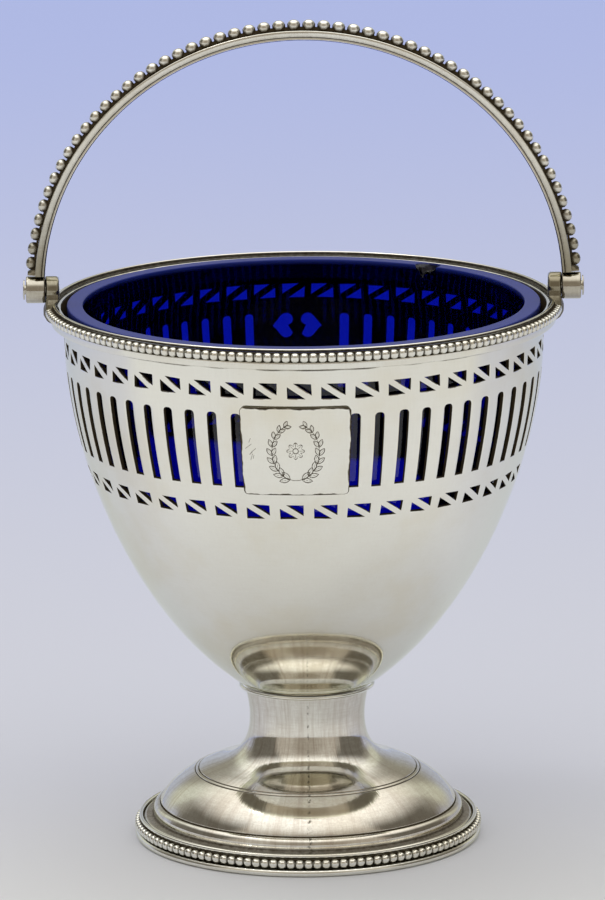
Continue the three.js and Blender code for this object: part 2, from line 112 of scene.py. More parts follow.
class PiercingSizes(bpy.types.PropertyGroup):
    """Sizes of the sawn openings in the bowl"""

    edge: length("Edge", 0.09, "Worn rounding of every sawn edge")
    bar: length("Bar", 1.25, "Width of the bar that splits each square")
    wander: length("Wander", 0.1, "How far hand sawing strays")
    upper_count: whole("Upper squares", 47, "Squares in the upper band")
    upper_base: length("Upper base", 104.55, "Lower edge of the upper squares")
    upper_width: length("Upper width", 4.9, "Width of an upper square")
    upper_height: length("Upper height", 3.15, "Height of an upper square")
    upper_turn: angle("Upper turn", 6.5, "Turn of the first upper square")
    upper_swell: share("Upper swell", 0.045, "How much wider apart they stand in front")
    lower_count: whole("Lower squares", 41, "Squares in the lower band")
    lower_base: length("Lower base", 78.4, "Lower edge of the lower squares")
    lower_width: length("Lower width", 4.8, "Width of a lower square")
    lower_height: length("Lower height", 3, "Height of a lower square")
    lower_turn: angle("Lower turn", 5.3, "Turn of the first lower square")
    slot_base: length("Slot base", 85.2, "Lower end of the slots")
    slot_height: length("Slot height", 16, "Height of a slot")
    slot_width: length("Slot width", 2.1, "Width of a slot")
    slot_shoulder: length("Slot shoulder", 0.8, "Rounding of a slot's top corners")
    slot_pitch: length("Slot pitch", 5.15, "Distance between slots")
    front_turn: angle("Front reserve turn", -2.2, "Middle of the front reserve")
    front_width: length("Front reserve", 24.1, "Distance between the slots at its sides")
    back_turn: angle("Back reserve turn", 181.7, "Middle of the back reserve")
    back_width: length("Back reserve", 20.8, "Distance between the slots at its sides")
    heart_width: length("Heart width", 4.8, "Width of a heart from lobes to point")
    heart_height: length("Heart height", 5.4, "Height of a heart across its lobes")
    heart_offset: length("Heart offset", 3.3, "Distance of a heart from the reserve's middle")
    heart_drop: length("Heart drop", 2.7, "Middle of the hearts below the slots' tops")
    band_margin: length("Band margin", 0.75, "Metal kept round the openings of a band")


class PlateSizes(bpy.types.PropertyGroup):
    """Sizes of the plate on the front reserve and of its engraving"""

    width: length("Width", 22.2, "Width of the plate")
    height: length("Height", 18.75, "Height of the plate")
    base: length("Base", 84.1, "Height of its lower edge")
    lift: length("Lift", 0.3, "Distance from the wall to its back")
    thickness: length("Thickness", 0.5, "Thickness of the plate")
    corner: length("Corner", 0.9, "Radius of its corners")
    grain: length("Grain", 0.11, "Spacing of the surface's points")
    line: length("Line", 0.12, "Half width of an engraved line")
    cut: length("Cut", 0.08, "Depth of an engraved line")
    wreath_width: length("Wreath width", 9.6, "Width of the engraved wreath")
    wreath_height: length("Wreath height", 12.2, "Height of the engraved wreath")


class FootSizes(bpy.types.PropertyGroup):
    """Sizes of the foot"""

    sheet: length("Sheet", 0.9, "Thickness of the foot's sheet")
    wire_radius: length("Base wire radius", 36.6, "Outside radius of the plain wire on the table")
    wire_width: length("Base wire width", 3.1, "Width of that wire")
    wire_height: length("Base wire height", 1.55, "Height of that wire")
    bead: length("Bead", 1.8, "Height of a bead")
    bead_reach: length("Bead reach", 0.84, "How far a bead stands out from the circle")
    bead_count: whole("Beads", 123, "Beads round the foot")
    bead_radius: length("Bead circle", 35.95, "Radius of the circle through the beads")
    bead_height: length("Bead level", 2.725, "Height of the beads' middles")
    edge_radius: length("Shell edge", 34.7, "Radius of the shell's edge")
    flange_height: length("Flange", 4.4, "Height of the flat flange above the beads")
    fine_radius: length("Fine wire circle", 35.4, "Radius of the fine wire's circle")
    fine_height: length("Fine wire height", 4.3, "Height of the fine wire")
    fine_wire: length("Fine wire", 0.4, "Radius of the fine wire")
    cove_radius: length("Cove radius", 32.75, "Radius where the cove meets the ovolo")
    cove_height: length("Cove height", 5.35, "Height where the cove meets the ovolo")
    dome_radius: length("Dome radius", 31.4, "Radius of the dome's lower edge")
    dome_height: length("Dome height", 7.3, "Height of the dome's lower edge")
    flare_radius: length("Flare radius", 20, "Radius where the dome turns into the stem")
    flare_height: length("Flare height", 15.6, "Height of that point")
    waist_radius: length("Waist radius", 12.15, "Radius of the stem's waist")
    waist_height: length("Waist height", 26, "Height of the stem's waist")
    top_radius: length("Stem top radius", 13.2, "Radius of the stem's top")
    top_height: length("Stem top height", 32.9, "Height of the stem's top")
    collar_radius: length("Collar circle", 14, "Radius of the collar wire's circle")
    collar_height: length("Collar height", 32.6, "Height of the collar wire")
    collar_wire: length("Collar wire", 0.35, "Radius of the collar wire")
    groove: length("Groove", 0.2, "Depth of the engraved lines")
    groove_width: length("Groove width", 0.26, "Width of the engraved lines")
    pair_radius: length("Pair radius", 23.5, "Radius of the engraved pair of lines")
    pair_gap: length("Pair gap", 0.75, "Distance between the pair's lines")


class RimSizes(bpy.types.PropertyGroup):
    """Sizes of the wires round the rim"""

    bead: length("Bead", 1.96, "Height of a bead")
    bead_reach: length("Bead reach", 0.83, "How far a bead stands out from the circle")
    bead_count: whole("Beads", 180, "Beads round the rim")
    bead_radius: length("Bead circle", 53.3, "Radius of the circle through the beads")
    bead_height: length("Bead level", 113.8, "Height of the beads' middles")
    edge_radius: length("Edge wire circle", 52.2, "Radius of the edge wire's circle")
    edge_height: length("Edge wire height", 115.08, "Height of the edge wire")
    edge_wire: length("Edge wire", 0.32, "Radius of the edge wire")
    under_inner: length("Under wire inside", 51.3, "Inside radius of the under wire")
    under_outer: length("Under wire outside", 52.9, "Outside radius of the under wire")
    under_low: length("Under wire low", 111.15, "Lower edge of the under wire")
    under_high: length("Under wire high", 112.8, "Upper edge of the under wire")


class HingeSizes(bpy.types.PropertyGroup):
    """Sizes of the hinges"""

    pivot: length("Pivot height", 117.765, "Height of the bail's axis")
    barrel_radius: length("Barrel radius", 2.82, "Radius of barrel and lug")
    barrel_inner: length("Barrel inner face", 53.97, "Distance of the barrel's inner face")
    barrel_length: length("Barrel length", 4, "Length of the barrel")
    head_radius: length("Pin head radius", 2.1, "Radius of the pin's head")
    head_outer: length("Pin head face", 58.7, "Distance of the head's outer face")
    pin_radius: length("Pin radius", 1, "Radius of the pin")
    lug_inner: length("Lug inner face", 51.07, "Distance of the lug's inner face")
    lug_outer: length("Lug outer face", 53.67, "Distance of the lug's outer face")
    root_base: length("Root base", 111.5, "Height of the root's lower end")


class BailSizes(bpy.types.PropertyGroup):
    """Sizes of the bail"""

    half_span: length("Half span", 54.07, "Distance from the middle to the inside of the strap")
    rise: length("Rise", 52.5, "Height of the inside of the strap over the pivots")
    start: length("Start", 3.12, "Distance from the pivots to the strap's ends")
    thickness: length("Thickness", 2.05, "Thickness of the strap")
    width: length("Width", 3.8, "Width of the strap")
    reed: length("Reed", 0.55, "Thickness of the inner reed")
    groove: length("Groove", 0.26, "Width and depth of the groove beside the reed")
    bead: length("Bead", 2.3, "Size of a bead across the strap")
    bead_rise: length("Bead rise", 2.12, "Height of a bead over the strap")
    bead_count: whole("Beads", 54, "Beads along the bail")
    bead_start: length("Bead start", 5.6, "Distance from the pivots to the first bead")


class LinerSizes(bpy.types.PropertyGroup):
    """Sizes of the glass liner"""

    clearance: length("Clearance", 0.5, "Gap between glass and silver")
    wall: length("Wall", 2.4, "Thickness of the glass")
    rim_radius: length("Rim radius", 49.5, "Outside radius of the ground rim")
    rim_width: length("Rim width", 3.3, "Width of the ground rim")
    rim_height: length("Rim height", 114.75, "Height of the ground rim")
    rim_depth: length("Rim depth", 2.2, "Height of the upright part below the rim")
    polish: length("Polish", 0.25, "Rounding of the rim's edges")
    heel: length("Heel", 4.84, "Rounding of the liner's base")
    floor_rise: length("Floor rise", 1.88, "Rise of the floor inside")
    base_height: length("Base height", 42.45, "Height of the underside")
    chip_turn: angle("Chip turn", 145.4, "Turn of the small chip in the rim")
    chip_width: length("Chip width", 3.1, "Half width of the chip")
    chip_depth: length("Chip depth", 2.3, "Depth of the chip")


class SilverLook(bpy.types.PropertyGroup):
    """Finish of the silver"""

    bright: colour("Bright", (0.925, 0.92, 0.855), "Polished silver")
    warm: colour("Warm", (0.89, 0.86, 0.74), "Faintly yellowed silver")
    edge: colour("Edge", (0.93, 0.955, 0.88), "Tint of the silver seen at a flat angle")
    film: colour("Film", (0.53, 0.465, 0.395), "Brownish film on less handled silver")
    # Mixed into the bail, the lugs, barrels and pins, more the lower they lie
    olive: colour("Olive", (0.2, 0.17, 0.1), "Thin tarnish near the hinges")
    # Also the colour of painted shade: the recess value darkens hollows, undersides and joins with
    # it
    tarnish_and_shade: colour("Tarnish", (0.055, 0.042, 0.025), "Dark tarnish in the recesses")
    gloss: share("Gloss roughness", 0.055, "Roughness of polished silver")
    dull: share("Dull roughness", 0.3, "Roughness of worn silver")
    wave: length("Wave", 0.035, "Height of the hammered waves")
    scratch: length("Scratch", 0.0016, "Depth of the fine scratches")
    ray: length("Ray", 0.07, "Height of the foot's streaks")


class GlassLook(bpy.types.PropertyGroup):
    """Finish of the glass"""

    body: colour("Body", (0.02, 0.05, 0.55), "Tint of the glass's surface")
    depth: colour("Depth", (0.03, 0.16, 0.86), "Light that long ways through the glass keep")
    density: FloatProperty(name="Density", description="How fast the glass darkens", default=850.0)
    ground: colour("Ground", (0.014, 0.03, 0.25), "Ground surface of the rim")
    # A matt, bright blue patch of painted light low inside the liner
    lit_patch: colour("Frost", (0.06, 0.16, 1.0), "Worn surface low inside the liner")
    gloss: share("Gloss roughness", 0.015, "Roughness of the blown surface")
    matt: share("Ground roughness", 0.38, "Roughness of the ground surface")
    swirl: length("Swirl", 0.02, "Height of the blown glass's waves")
    pit: length("Pit", 0.005, "Depth of the ground surface's pits")


class StudioLight(bpy.types.PropertyGroup):
    """Colours of the light by its direction"""

    wall_low: colour("Wall low", (0.52, 0.54, 0.68), "Lilac foot of the wall behind")
    wall_high: colour("Wall high", (0.36, 0.345, 0.305), "Wall behind, further up")
    room_low: colour("Room low", (0.52, 0.48, 0.42), "Room in front and beside")
    room_high: colour("Room high", (0.92, 0.89, 0.82), "Room's upper part and ceiling")
    spot: colour("Spot", (0.38, 0.34, 0.285), "Dim spot in front")
    aside: colour("Aside", (0.17, 0.158, 0.135), "Dark on both sides")
    panel: colour("Panel", (0.68, 0.69, 0.6), "Pale panels between side and back")
    overhead: colour("Overhead", (1.5, 1.48, 1.42), "Bright patch overhead")


class StageSettings(bpy.types.PropertyGroup):
    """Floor, lamp and camera"""

    distance: length("Distance", 1600, "Distance of the camera from its aim")
    elevation: angle("Elevation", 12.467, "Camera height over the horizon")
    roll: angle("Roll", -0.5, "Camera roll")
    aim_height: length("Aim height", 82.94, "Height the camera looks at")
    aim_side: length("Aim side", -0.5, "Sideways shift of the camera")
    lens: FloatProperty(name="Lens", description="Focal length in millimetres", default=304.7)
    floor_size: length("Floor", 9000, "Half width of the floor")
    # Lighter than the floor under the basket: painted light that offsets the basket's shadow in
    # front
    front: colour("Front floor", (0.81, 0.825, 0.855), "Floor in front of the basket")
    near: colour("Near floor", (0.69, 0.71, 0.81), "Floor under the basket")
    far: colour("Far floor", (0.475, 0.55, 0.93), "Floor far behind the basket")
    far_distance: length("Far distance", 1150, "Distance behind at which the far colour is reached")


# Arrays

def bezier(ends, steps):
    """Points of a cubic curve: its four control points weighed by the Bernstein terms."""
    t = np.linspace(0, 1, steps + 1)[:, None]
    a, b, c, d = (np.asarray(p, float) for p in ends)
    return (1 - t) ** 3 * a + 3 * (1 - t) ** 2 * t * b + 3 * (1 - t) * t**2 * c + t**3 * d


def arc(centre, radius, start, end, steps):
    """Points at even steps of angle on a circle, from start to end in degrees."""
    a = np.radians(np.linspace(start, end, steps + 1))
    return np.stack([centre[0] + radius * np.cos(a), centre[1] + radius * np.sin(a)], -1)


# Points nearer than this are one
LEAST_STEP = 1e-7


def chain(*parts):
    """Several runs of points end to end, without the doubles where they meet."""
    line = np.concatenate([np.asarray(p, float).reshape(-1, 2) for p in parts])
    keep = np.r_[True, np.linalg.norm(np.diff(line, axis=0), axis=1) > LEAST_STEP]
    return line[keep]


def run_along(line):
    """The length of a line up to each of its points."""
    return np.r_[0, np.cumsum(np.linalg.norm(np.diff(line, axis=0), axis=1))]


def points_at(wanted, run, line):
    """The points of a line at the wanted places of its run, on straight lines between its own."""
    return np.stack([np.interp(wanted, run, line[:, k]) for k in (0, 1)], -1)


def offset(profile, depth):
    """The profile moved by the depth to the left of its way: square to the gradient."""
    slope = np.gradient(profile, axis=0)
    normal = np.stack([slope[:, 1], -slope[:, 0]], -1)
    return profile - normal / np.linalg.norm(normal, axis=1, keepdims=True) * depth


def from_table(table, places):
    """Values at places, on straight lines between the table's pairs of place and value."""
    return np.interp(places, *np.transpose(table))


def bell(values, middle, width):
    """1 at the middle, falling off as the exponential of minus the squared distance in widths."""
    return np.exp(-(((values - middle) / width) ** 2))


def grid_faces(rows, columns, close_rows=False, close_columns=False):
    """Corner numbers of the faces between neighbours in a grid of rows by columns."""
    i = np.arange(rows if close_rows else rows - 1)[:, None]
    j = np.arange(columns if close_columns else columns - 1)[None, :]
    i2, j2 = (i + 1) % rows, (j + 1) % columns
    corners = [i * columns + j, i * columns + j2, i2 * columns + j2, i2 * columns + j]
    return np.stack(np.broadcast_arrays(*corners), -1).reshape(-1, 4)


WELD_GRAIN = 2e-7
# Keeps round coordinates away from the limits between grains
WELD_SHIFT = 0.137


class Skin:
    """Grids of points gathered into one surface, which is welded where their points meet.

    Each point also has a recess value, 0 on open metal and 1 where tarnish and painted shade are
    darkest.
    """

    def __init__(self):
        self.points, self.faces, self.recess, self.count = [], [], [], 0

    def add(self, points, faces, recess=0.0):
        """Points with the faces between them, and their recess as a number or an array."""
        flat = np.asarray(points, float).reshape(-1, 3)
        self.points.append(flat)
        self.faces.append(faces + self.count)
        self.recess.append(np.broadcast_to(recess, np.shape(points)[:-1]).reshape(-1))
        self.count += len(flat)
        return self

    def grid(self, points, recess=0.0, flip=False, close_rows=False, close_columns=False):
        """Rows and columns of points with faces between all neighbours."""
        rows, columns = points.shape[:2]
        faces = grid_faces(rows, columns, close_rows, close_columns)
        return self.add(points, faces[:, ::-1] if flip else faces, recess)

    def copies(self, points, faces, recess=0.0):
        """The same grid many times over: points has one more axis in front."""
        number, size = points.shape[0], int(np.prod(points.shape[1:-1]))
        shifts = (np.arange(number) * size)[:, None, None]
        return self.add(points, (faces[None] + shifts).reshape(-1, 4), recess)

    def cap(self, end, recess=0.0, flip=False):
        """Closes a tube's open end with a fan from the middle of its points."""
        middle = np.broadcast_to(end.mean(0), end.shape)
        return self.grid(np.stack([middle, end]), recess, flip=flip, close_columns=True)

    def welded(self):
        """Points that agree to the grain become one."""
        points, faces = np.concatenate(self.points), np.concatenate(self.faces)
        keys = np.round(points / WELD_GRAIN + WELD_SHIFT).astype(np.int64)
        _, first, back = np.unique(keys, axis=0, return_index=True, return_inverse=True)
        return points[first], back.reshape(-1)[faces], np.concatenate(self.recess)[first]


def volume_of(points, faces):
    """Six times the signed volume: the sum of triple products over both halves of each face."""
    a, b, c, d = (points[faces[:, k]] for k in range(4))
    return np.einsum("ij,ij->", a, np.cross(b, c)) + np.einsum("ij,ij->", a, np.cross(c, d))


def make_piece(name, skin, finish, node, body="basket", crease=38):
    """Puts a skin into a mesh, faces outwards, and seats it on its body in place of its node.

    Faces keep their distinct corners after the weld, and those with fewer than three go.
    Edges that turn by more than the crease, in degrees, stay sharp.
    """
    points, faces, recess = skin.welded()
    if volume_of(points, faces) < 0:
        faces = faces[:, ::-1]
    keep = faces != np.roll(faces, -1, axis=1)
    whole = keep.sum(1) > 2
    faces, keep = faces[whole], keep[whole]
    sizes = keep.sum(1)
    mesh = bpy.data.meshes.new(name)
    mesh.vertices.add(len(points))
    mesh.vertices.foreach_set("co", points.astype(np.float32).ravel())
    mesh.loops.add(int(sizes.sum()))
    mesh.loops.foreach_set("vertex_index", faces[keep].astype(np.int32))
    mesh.polygons.add(len(sizes))
    starts = np.r_[0, np.cumsum(sizes)[:-1]].astype(np.int32)
    mesh.polygons.foreach_set("loop_start", starts)
    mesh.update(calc_edges=True)
    mesh.attributes.new("recess", "FLOAT", "POINT").data.foreach_set(
        "value", recess.astype(np.float32)
    )
    mesh.shade_smooth()
    mesh.set_sharp_from_angle(angle=math.radians(crease))
    mesh.materials.append(finish_of(finish))
    piece = bpy.data.objects.new(name, mesh)
    bpy.context.scene.collection.objects.link(piece)
    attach(piece, body)
    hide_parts(node)


def around(radius, turn, height):
    """A point at a radius, a turn from the front and a height."""
    parts = np.broadcast_arrays(radius * np.sin(turn), -radius * np.cos(turn), height)
    return np.stack(parts, -1)


def lathe(profile, turns, recess=0.0):
    """A profile carried round Z: one row for each turn, one column for each profile point."""
    points = around(profile[None, :, 0], turns[:, None], profile[None, :, 1])
    return Skin().grid(points, recess, close_rows=True)


def even_turns(count):
    """Turns at even steps all the way round."""
    return np.arange(count) * TURN / count


def in_order(turns):
    """Turns brought into one lap and sorted."""
    return np.sort(np.mod(turns, TURN))


# Materials

class Term:
    """A node's output. Arithmetic on it adds Math nodes."""

    def __init__(self, shader, socket):
        self.shader, self.socket = shader, socket

    def math(self, operation, *values):
        """A Math node on the values, which are terms or numbers."""
        return self.shader.node("ShaderNodeMath", {"operation": operation}, dict(enumerate(values)))

    def __add__(self, other):
        return self.math("ADD", self, other)

    def __sub__(self, other):
        return self.math("SUBTRACT", self, other)

    def __rsub__(self, other):
        return self.math("SUBTRACT", other, self)

    def __mul__(self, other):
        return self.math("MULTIPLY", self, other)

    __radd__, __rmul__ = __add__, __mul__

    def within(self, low, high, soft):
        """1 between low and high, falling smoothly to 0 over the soft width at both ends."""
        return self.smooth(low - soft, low + soft) * self.smooth(high - soft, high + soft, 1.0, 0.0)

    def smooth(self, low, high, start=0.0, end=1.0):
        """Rises smoothly from start to end as the value goes from low to high."""
        settings = {"interpolation_type": "SMOOTHSTEP"}
        values = {0: self, 1: low, 2: high, 3: start, 4: end}
        return self.shader.node("ShaderNodeMapRange", settings, values)


class Shader:
    """Adds nodes to the tree of a material or a world."""

    def __init__(self, owner):
        owner.use_nodes = True
        self.owner, self.tree = owner, owner.node_tree
        self.tree.nodes.clear()

    def node(self, kind, settings=None, values=None, output=0):
        """A node with its settings, then the values or links of its sockets."""
        made = self.tree.nodes.new(kind)
        for key, value in (settings or {}).items():
            setattr(made, key, value)
        for key, value in (values or {}).items():
            if isinstance(value, Term):
                self.tree.links.new(value.socket, made.inputs[key])
            else:
                made.inputs[key].default_value = value
        return Term(self, made.outputs[output]) if made.outputs else None

    def mix(self, factor, first, second):
        """A colour between first and second."""
        return self.node(
            "ShaderNodeMix", {"data_type": "RGBA"}, {0: factor, 6: first, 7: second}, output=2
        )

    def noise(self, where, scale, detail=3.0, roughness=0.55):
        """Soft noise about 0.5, with a number of waves to the metre."""
        values = {"Vector": where, "Scale": scale, "Detail": detail, "Roughness": roughness}
        return self.node("ShaderNodeTexNoise", None, values)

    def here(self):
        """Object coordinates."""
        return self.node("ShaderNodeTexCoord", output=3)

    def recess(self):
        """The recess value of the mesh."""
        return self.node("ShaderNodeAttribute", {"attribute_name": "recess"}, output=2)

    def parts(self, where):
        """The three coordinates one by one."""
        separate = "ShaderNodeSeparateXYZ"
        return [self.node(separate, None, {"Vector": where}, output=k) for k in range(3)]

    def joined(self, *values):
        """A vector of three values."""
        return self.node("ShaderNodeCombineXYZ", None, dict(enumerate(values)))

    def turn_of(self, x, y):
        """The turn from the front, -Y, towards +X, in radians."""
        return x.math("ARCTAN2", x, y * -1.0)

    def stretched(self, where, scale):
        """The coordinates scaled by their own number along each axis."""
        return self.node("ShaderNodeMapping", None, {"Vector": where, "Scale": scale})

    def relief(self, height):
        """A normal that follows a height in metres."""
        return self.node("ShaderNodeBump", None, {"Distance": 1.0, "Height": height})

    def principled(self, **values):
        """The general surface. Words of a socket's name are joined by underscores."""
        sockets = {key.replace("_", " "): value for key, value in values.items()}
        return self.node("ShaderNodeBsdfPrincipled", None, sockets)

    def finish(self, surface, volume=None, kind="ShaderNodeOutputMaterial"):
        """Ends the tree with its output node. Returns the material or world."""
        self.node(kind, None, {"Surface": surface} | ({"Volume": volume} if volume else {}))
        return self.owner


def rgba(value):
    """A colour with full alpha, as a colour socket takes it."""
    return (*value, 1.0)


# Heights over which the bail and its barrels turn olive, from all of it to none
LOW_BAIL, HIGH_BAIL = 118 * MM, 148 * MM
# Waves to the metre of the scratches that lie level and of those that stand upright
LEVEL_SCALES, UPRIGHT_SCALES = (260.0, 260.0, 2600.0), (2200.0, 2200.0, 240.0)


def silver_material(name, look, film, wave_share=1.0, wear=0.0, streaks=0.0, low=0.0):
    """Polished silver: yellowed patches, fine scratches, hammered waves, tarnish, and painted shade
    in recesses.

    A share of brown film covers it in clouds. A share low down is olive, as on the bail, and
    a share lies in streaks, as on the foot.
    """
    shader = Shader(bpy.data.materials.new(name))
    where, recess = shader.here(), shader.recess()
    patches = shader.noise(where, scale=42.0, detail=4.0)
    specks = shader.noise(where, scale=900.0, roughness=0.7)
    level, upright = shader.stretched(where, LEVEL_SCALES), shader.stretched(where, UPRIGHT_SCALES)
    scratches = shader.noise(level, scale=1.0, detail=4.0, roughness=0.75)
    crosswise = shader.noise(upright, scale=1.0, roughness=0.7)
    waves = shader.noise(where, scale=95.0, detail=1.0, roughness=0.4)
    grain = scratches + crosswise
    # Tarnish and painted shade by the recess value, flecked a little
    tarnish_and_shade_share = (recess + (specks - 0.5) * 0.5 * recess).smooth(0.18, 0.85)
    base = shader.mix(patches.smooth(0.42, 0.68), rgba(look.bright), rgba(look.warm))
    clouds = (patches * 0.6 + grain * 0.35).smooth(0.35, 0.85)
    base = shader.mix(clouds * film, base, rgba(look.film))
    height = waves * (look.wave * wave_share) + grain * look.scratch
    if low:
        down = shader.parts(where)[2].smooth(LOW_BAIL, HIGH_BAIL, 1.0, 0.0) * low
        thin = (patches + grain * 0.3).smooth(0.45, 0.85, 0.3, 0.85)
        base = shader.mix(down * thin, base, rgba(look.olive))
    if streaks:
        base, ray = foot_streaks(shader, look, base, specks, streaks)
        height = height + ray * (look.ray * streaks)
    base = shader.mix(tarnish_and_shade_share, base, rgba(look.tarnish_and_shade))
    rough = grain.smooth(0.9, 1.35) * 0.07 + look.gloss * (1 + film * 0.3)
    rough = rough + patches.smooth(0.5, 0.75) * wear + tarnish_and_shade_share * look.dull
    surface = shader.principled(
        Base_Color=base, Metallic=1.0 - tarnish_and_shade_share * 0.9, Roughness=rough, Normal=shader.relief(height),
        Specular_IOR_Level=0.0, Specular_Tint=rgba(look.edge),
    )
    return shader.finish(surface)


def foot_streaks(shader, look, base, specks, amount):
    """Brown rays from the foot's middle outwards, and the dark line of its joint in front.

    The rays are noise over turn and height, so that they run straight down the foot.
    """
    x, y, z = shader.parts(shader.here())
    turn = shader.turn_of(x, y)
    around_foot = shader.joined(turn * 11.0, z * 30.0, 0.0)
    ray = shader.noise(around_foot, scale=1.0, detail=4.0, roughness=0.65)
    base = shader.mix(ray.smooth(0.45, 0.7) * amount, base, rgba(look.film))
    seam = (turn - 0.01).within(-0.012, 0.012, 0.012)
    return shader.mix(seam * specks.smooth(0.5, 0.62) * 0.85, base, rgba(look.tarnish_and_shade)), ray


def glass_material(name, look):
    """Deep blue glass: clear on its blown surfaces, matt where the rim is ground, matt and bright
    blue where a patch of painted light lies low inside, and darker the further light travels in it."""
    shader = Shader(bpy.data.materials.new(name))
    where = shader.here()
    grit = shader.noise(where, scale=1500.0, roughness=0.7)
    waves = shader.noise(where, scale=120.0, detail=2.0)
    clear = shader.principled(
        Base_Color=rgba(look.body), Roughness=look.gloss, Transmission_Weight=1.0,
        IOR=1.52, Normal=shader.relief(waves * look.swirl),
    )
    at_rim = shader.parts(where)[2].smooth(0.1, 0.11)
    matt = shader.principled(
        Base_Color=shader.mix(at_rim, rgba(look.lit_patch), rgba(look.ground)),
        Roughness=look.matt, IOR=1.36, Normal=shader.relief(grit * look.pit),
    )
    surface = shader.node("ShaderNodeMixShader", None, {0: shader.recess(), 1: clear, 2: matt})
    absorption = {"Color": rgba(look.depth), "Density": look.density}
    return shader.finish(surface, shader.node("ShaderNodeVolumeAbsorption", None, absorption))


SILVER_FINISHES = {
    "silver_bowl": {"film": 0.14},
    "silver_foot": {"film": 0.75, "wave_share": 0.6, "wear": 0.05, "streaks": 0.6},
    "silver_wire": {"film": 0.25, "wave_share": 0.0, "wear": 0.08},
    "silver_bail": {"film": 0.4, "wave_share": 0.3, "wear": 0.1, "low": 1.0},
    "silver_barrel": {"film": 0.7, "wave_share": 0.3, "wear": 0.1, "low": 0.55},
}


def finish_of(kind):
    """The material of that name, made once."""
    found = bpy.data.materials.get(kind)
    if found:
        return found
    scene = bpy.context.scene
    if kind in SILVER_FINISHES:
        return silver_material(kind, scene.basket_silver, **SILVER_FINISHES[kind])
    return glass_material(kind, scene.basket_glass)


# Bowl

CURVE_STEPS = 600
# Painted shade on the bowl's inside, which lies behind the glass
INSIDE_SHADE = 0.85


class Wall:
    """The bowl's wall: one curve carried round Z, with a depth along its own normal."""

    def __init__(self, s):
        ends = [
            (s.base_radius, s.base_height),
            (s.base_radius + s.base_out, s.base_height + s.base_up),
            (s.neck_radius + s.neck_out, s.neck_height - s.neck_down),
            (s.neck_radius, s.neck_height),
        ]
        curve = bezier(ends, CURVE_STEPS)
        self.radii, self.heights = curve[:, 0], curve[:, 1]
        self.slopes = np.gradient(self.radii, self.heights)
        self.thickness, self.rise = s.wall, s.back_rise
        self.rows = [s.rise_start, s.rise_low, s.rise_high, s.neck_height]
        # Outside and inside: the depth, whether the faces are reversed, and the recess
        self.sides = ((0.0, False, 0.0), (s.wall, True, INSIDE_SHADE))

    def radius(self, height):
        """The outside radius at a height."""
        return np.interp(height, self.heights, self.radii)

    def profile(self, heights, depth=0.0):
        """Outside radius and height, both moved by the depth along the inward normal."""
        slope = np.interp(heights, self.heights, self.slopes)
        run = depth / np.sqrt(1 + slope**2)
        return np.stack([self.radius(heights) - run, heights + slope * run], -1)

    def point(self, turn, height, depth=0.0):
        """A point of the wall. Rows climb by the square of half of one less the turn's cosine."""
        behind = ((1 - np.cos(turn)) / 2) ** 2
        climb = self.rise * behind * np.interp(height, self.rows, [0, 1, 1, 0])
        placed = self.profile(height + climb, depth)
        return around(placed[..., 0], turn, placed[..., 1])


def side(start, end, steps):
    """Even steps from one corner towards the next, without the last."""
    start, end = np.asarray(start, float), np.asarray(end, float)
    return start + (end - start) * (np.arange(steps)[:, None] / steps)


def outline(corners, steps):
    """Points round a closed outline, with a number of even steps on each side."""
    ends = [*corners[1:], corners[0]]
    return np.concatenate([side(a, b, n) for a, b, n in zip(corners, ends, steps)])


# How far a ring of points lies from a cell's outline to the worn edge of its hole
RING_SHARE = 0.6
# Where the worn edge turns, as shares of its width
TURN_SHARE = 0.3


def pierce(skin, wall, cells, holes, edge):
    """Metal round openings. Cells and holes are outlines of turn and height, point for point.

    Rings of points run from the cell's outline to the hole's, turn over the worn edge, go
    through the wall and come back along the inside.
    """
    toward = cells - holes
    scale = np.stack([wall.radius(holes[..., 1]), np.ones(holes.shape[:-1])], -1)
    gap = np.linalg.norm(toward * scale, axis=-1, keepdims=True)
    lip = holes + toward / gap * edge
    corner = holes + toward / gap * edge * TURN_SHARE
    depth = wall.thickness
    # The sawn walls of the openings are darkened: tarnish, and painted shade inside the openings
    rings = [
        (cells, 0.0, 0.0), (cells + (lip - cells) * RING_SHARE, 0.0, 0.0), (lip, 0.0, 0.0),
        (corner, edge * TURN_SHARE, 0.3), (holes, edge, 0.8), (holes, depth - edge, 1.0),
        (lip, depth, INSIDE_SHADE), (cells, depth, INSIDE_SHADE),
    ]
    places = np.stack([ring[0] for ring in rings], 1)
    depths, recess = np.array([ring[1:] for ring in rings]).T[:, None, :, None]
    points = wall.point(places[..., 0], places[..., 1], depths)
    faces = grid_faces(len(rings), places.shape[2], close_columns=True)
    skin.copies(points, faces, recess)


SQUARE_STEPS = (6, 8, 6)
LOWER_SEED, UPPER_SEED, SLOT_SEED, SCRATCH_SEED = 7, 11, 23, 5


def square_holes(s, radius, width, height, count, seed):
    """The two triangles of each square, as corners about its middle, in turn and height."""
    diagonal = math.hypot(width, height)
    across, up = s.bar * diagonal / height / 2, s.bar * diagonal / width / 2
    x, y = width / 2, height / 2
    low = np.array([[-x, -y], [x - across, -y], [-x, y - up]])
    high = np.array([[x, y], [across - x, y], [x, up - y]])
    stray = np.random.default_rng(seed).uniform(-1, 1, (2, count, 3, 2)) * s.wander
    return [(corners + stray[k]) / np.array([radius, 1.0]) for k, corners in enumerate((low, high))]


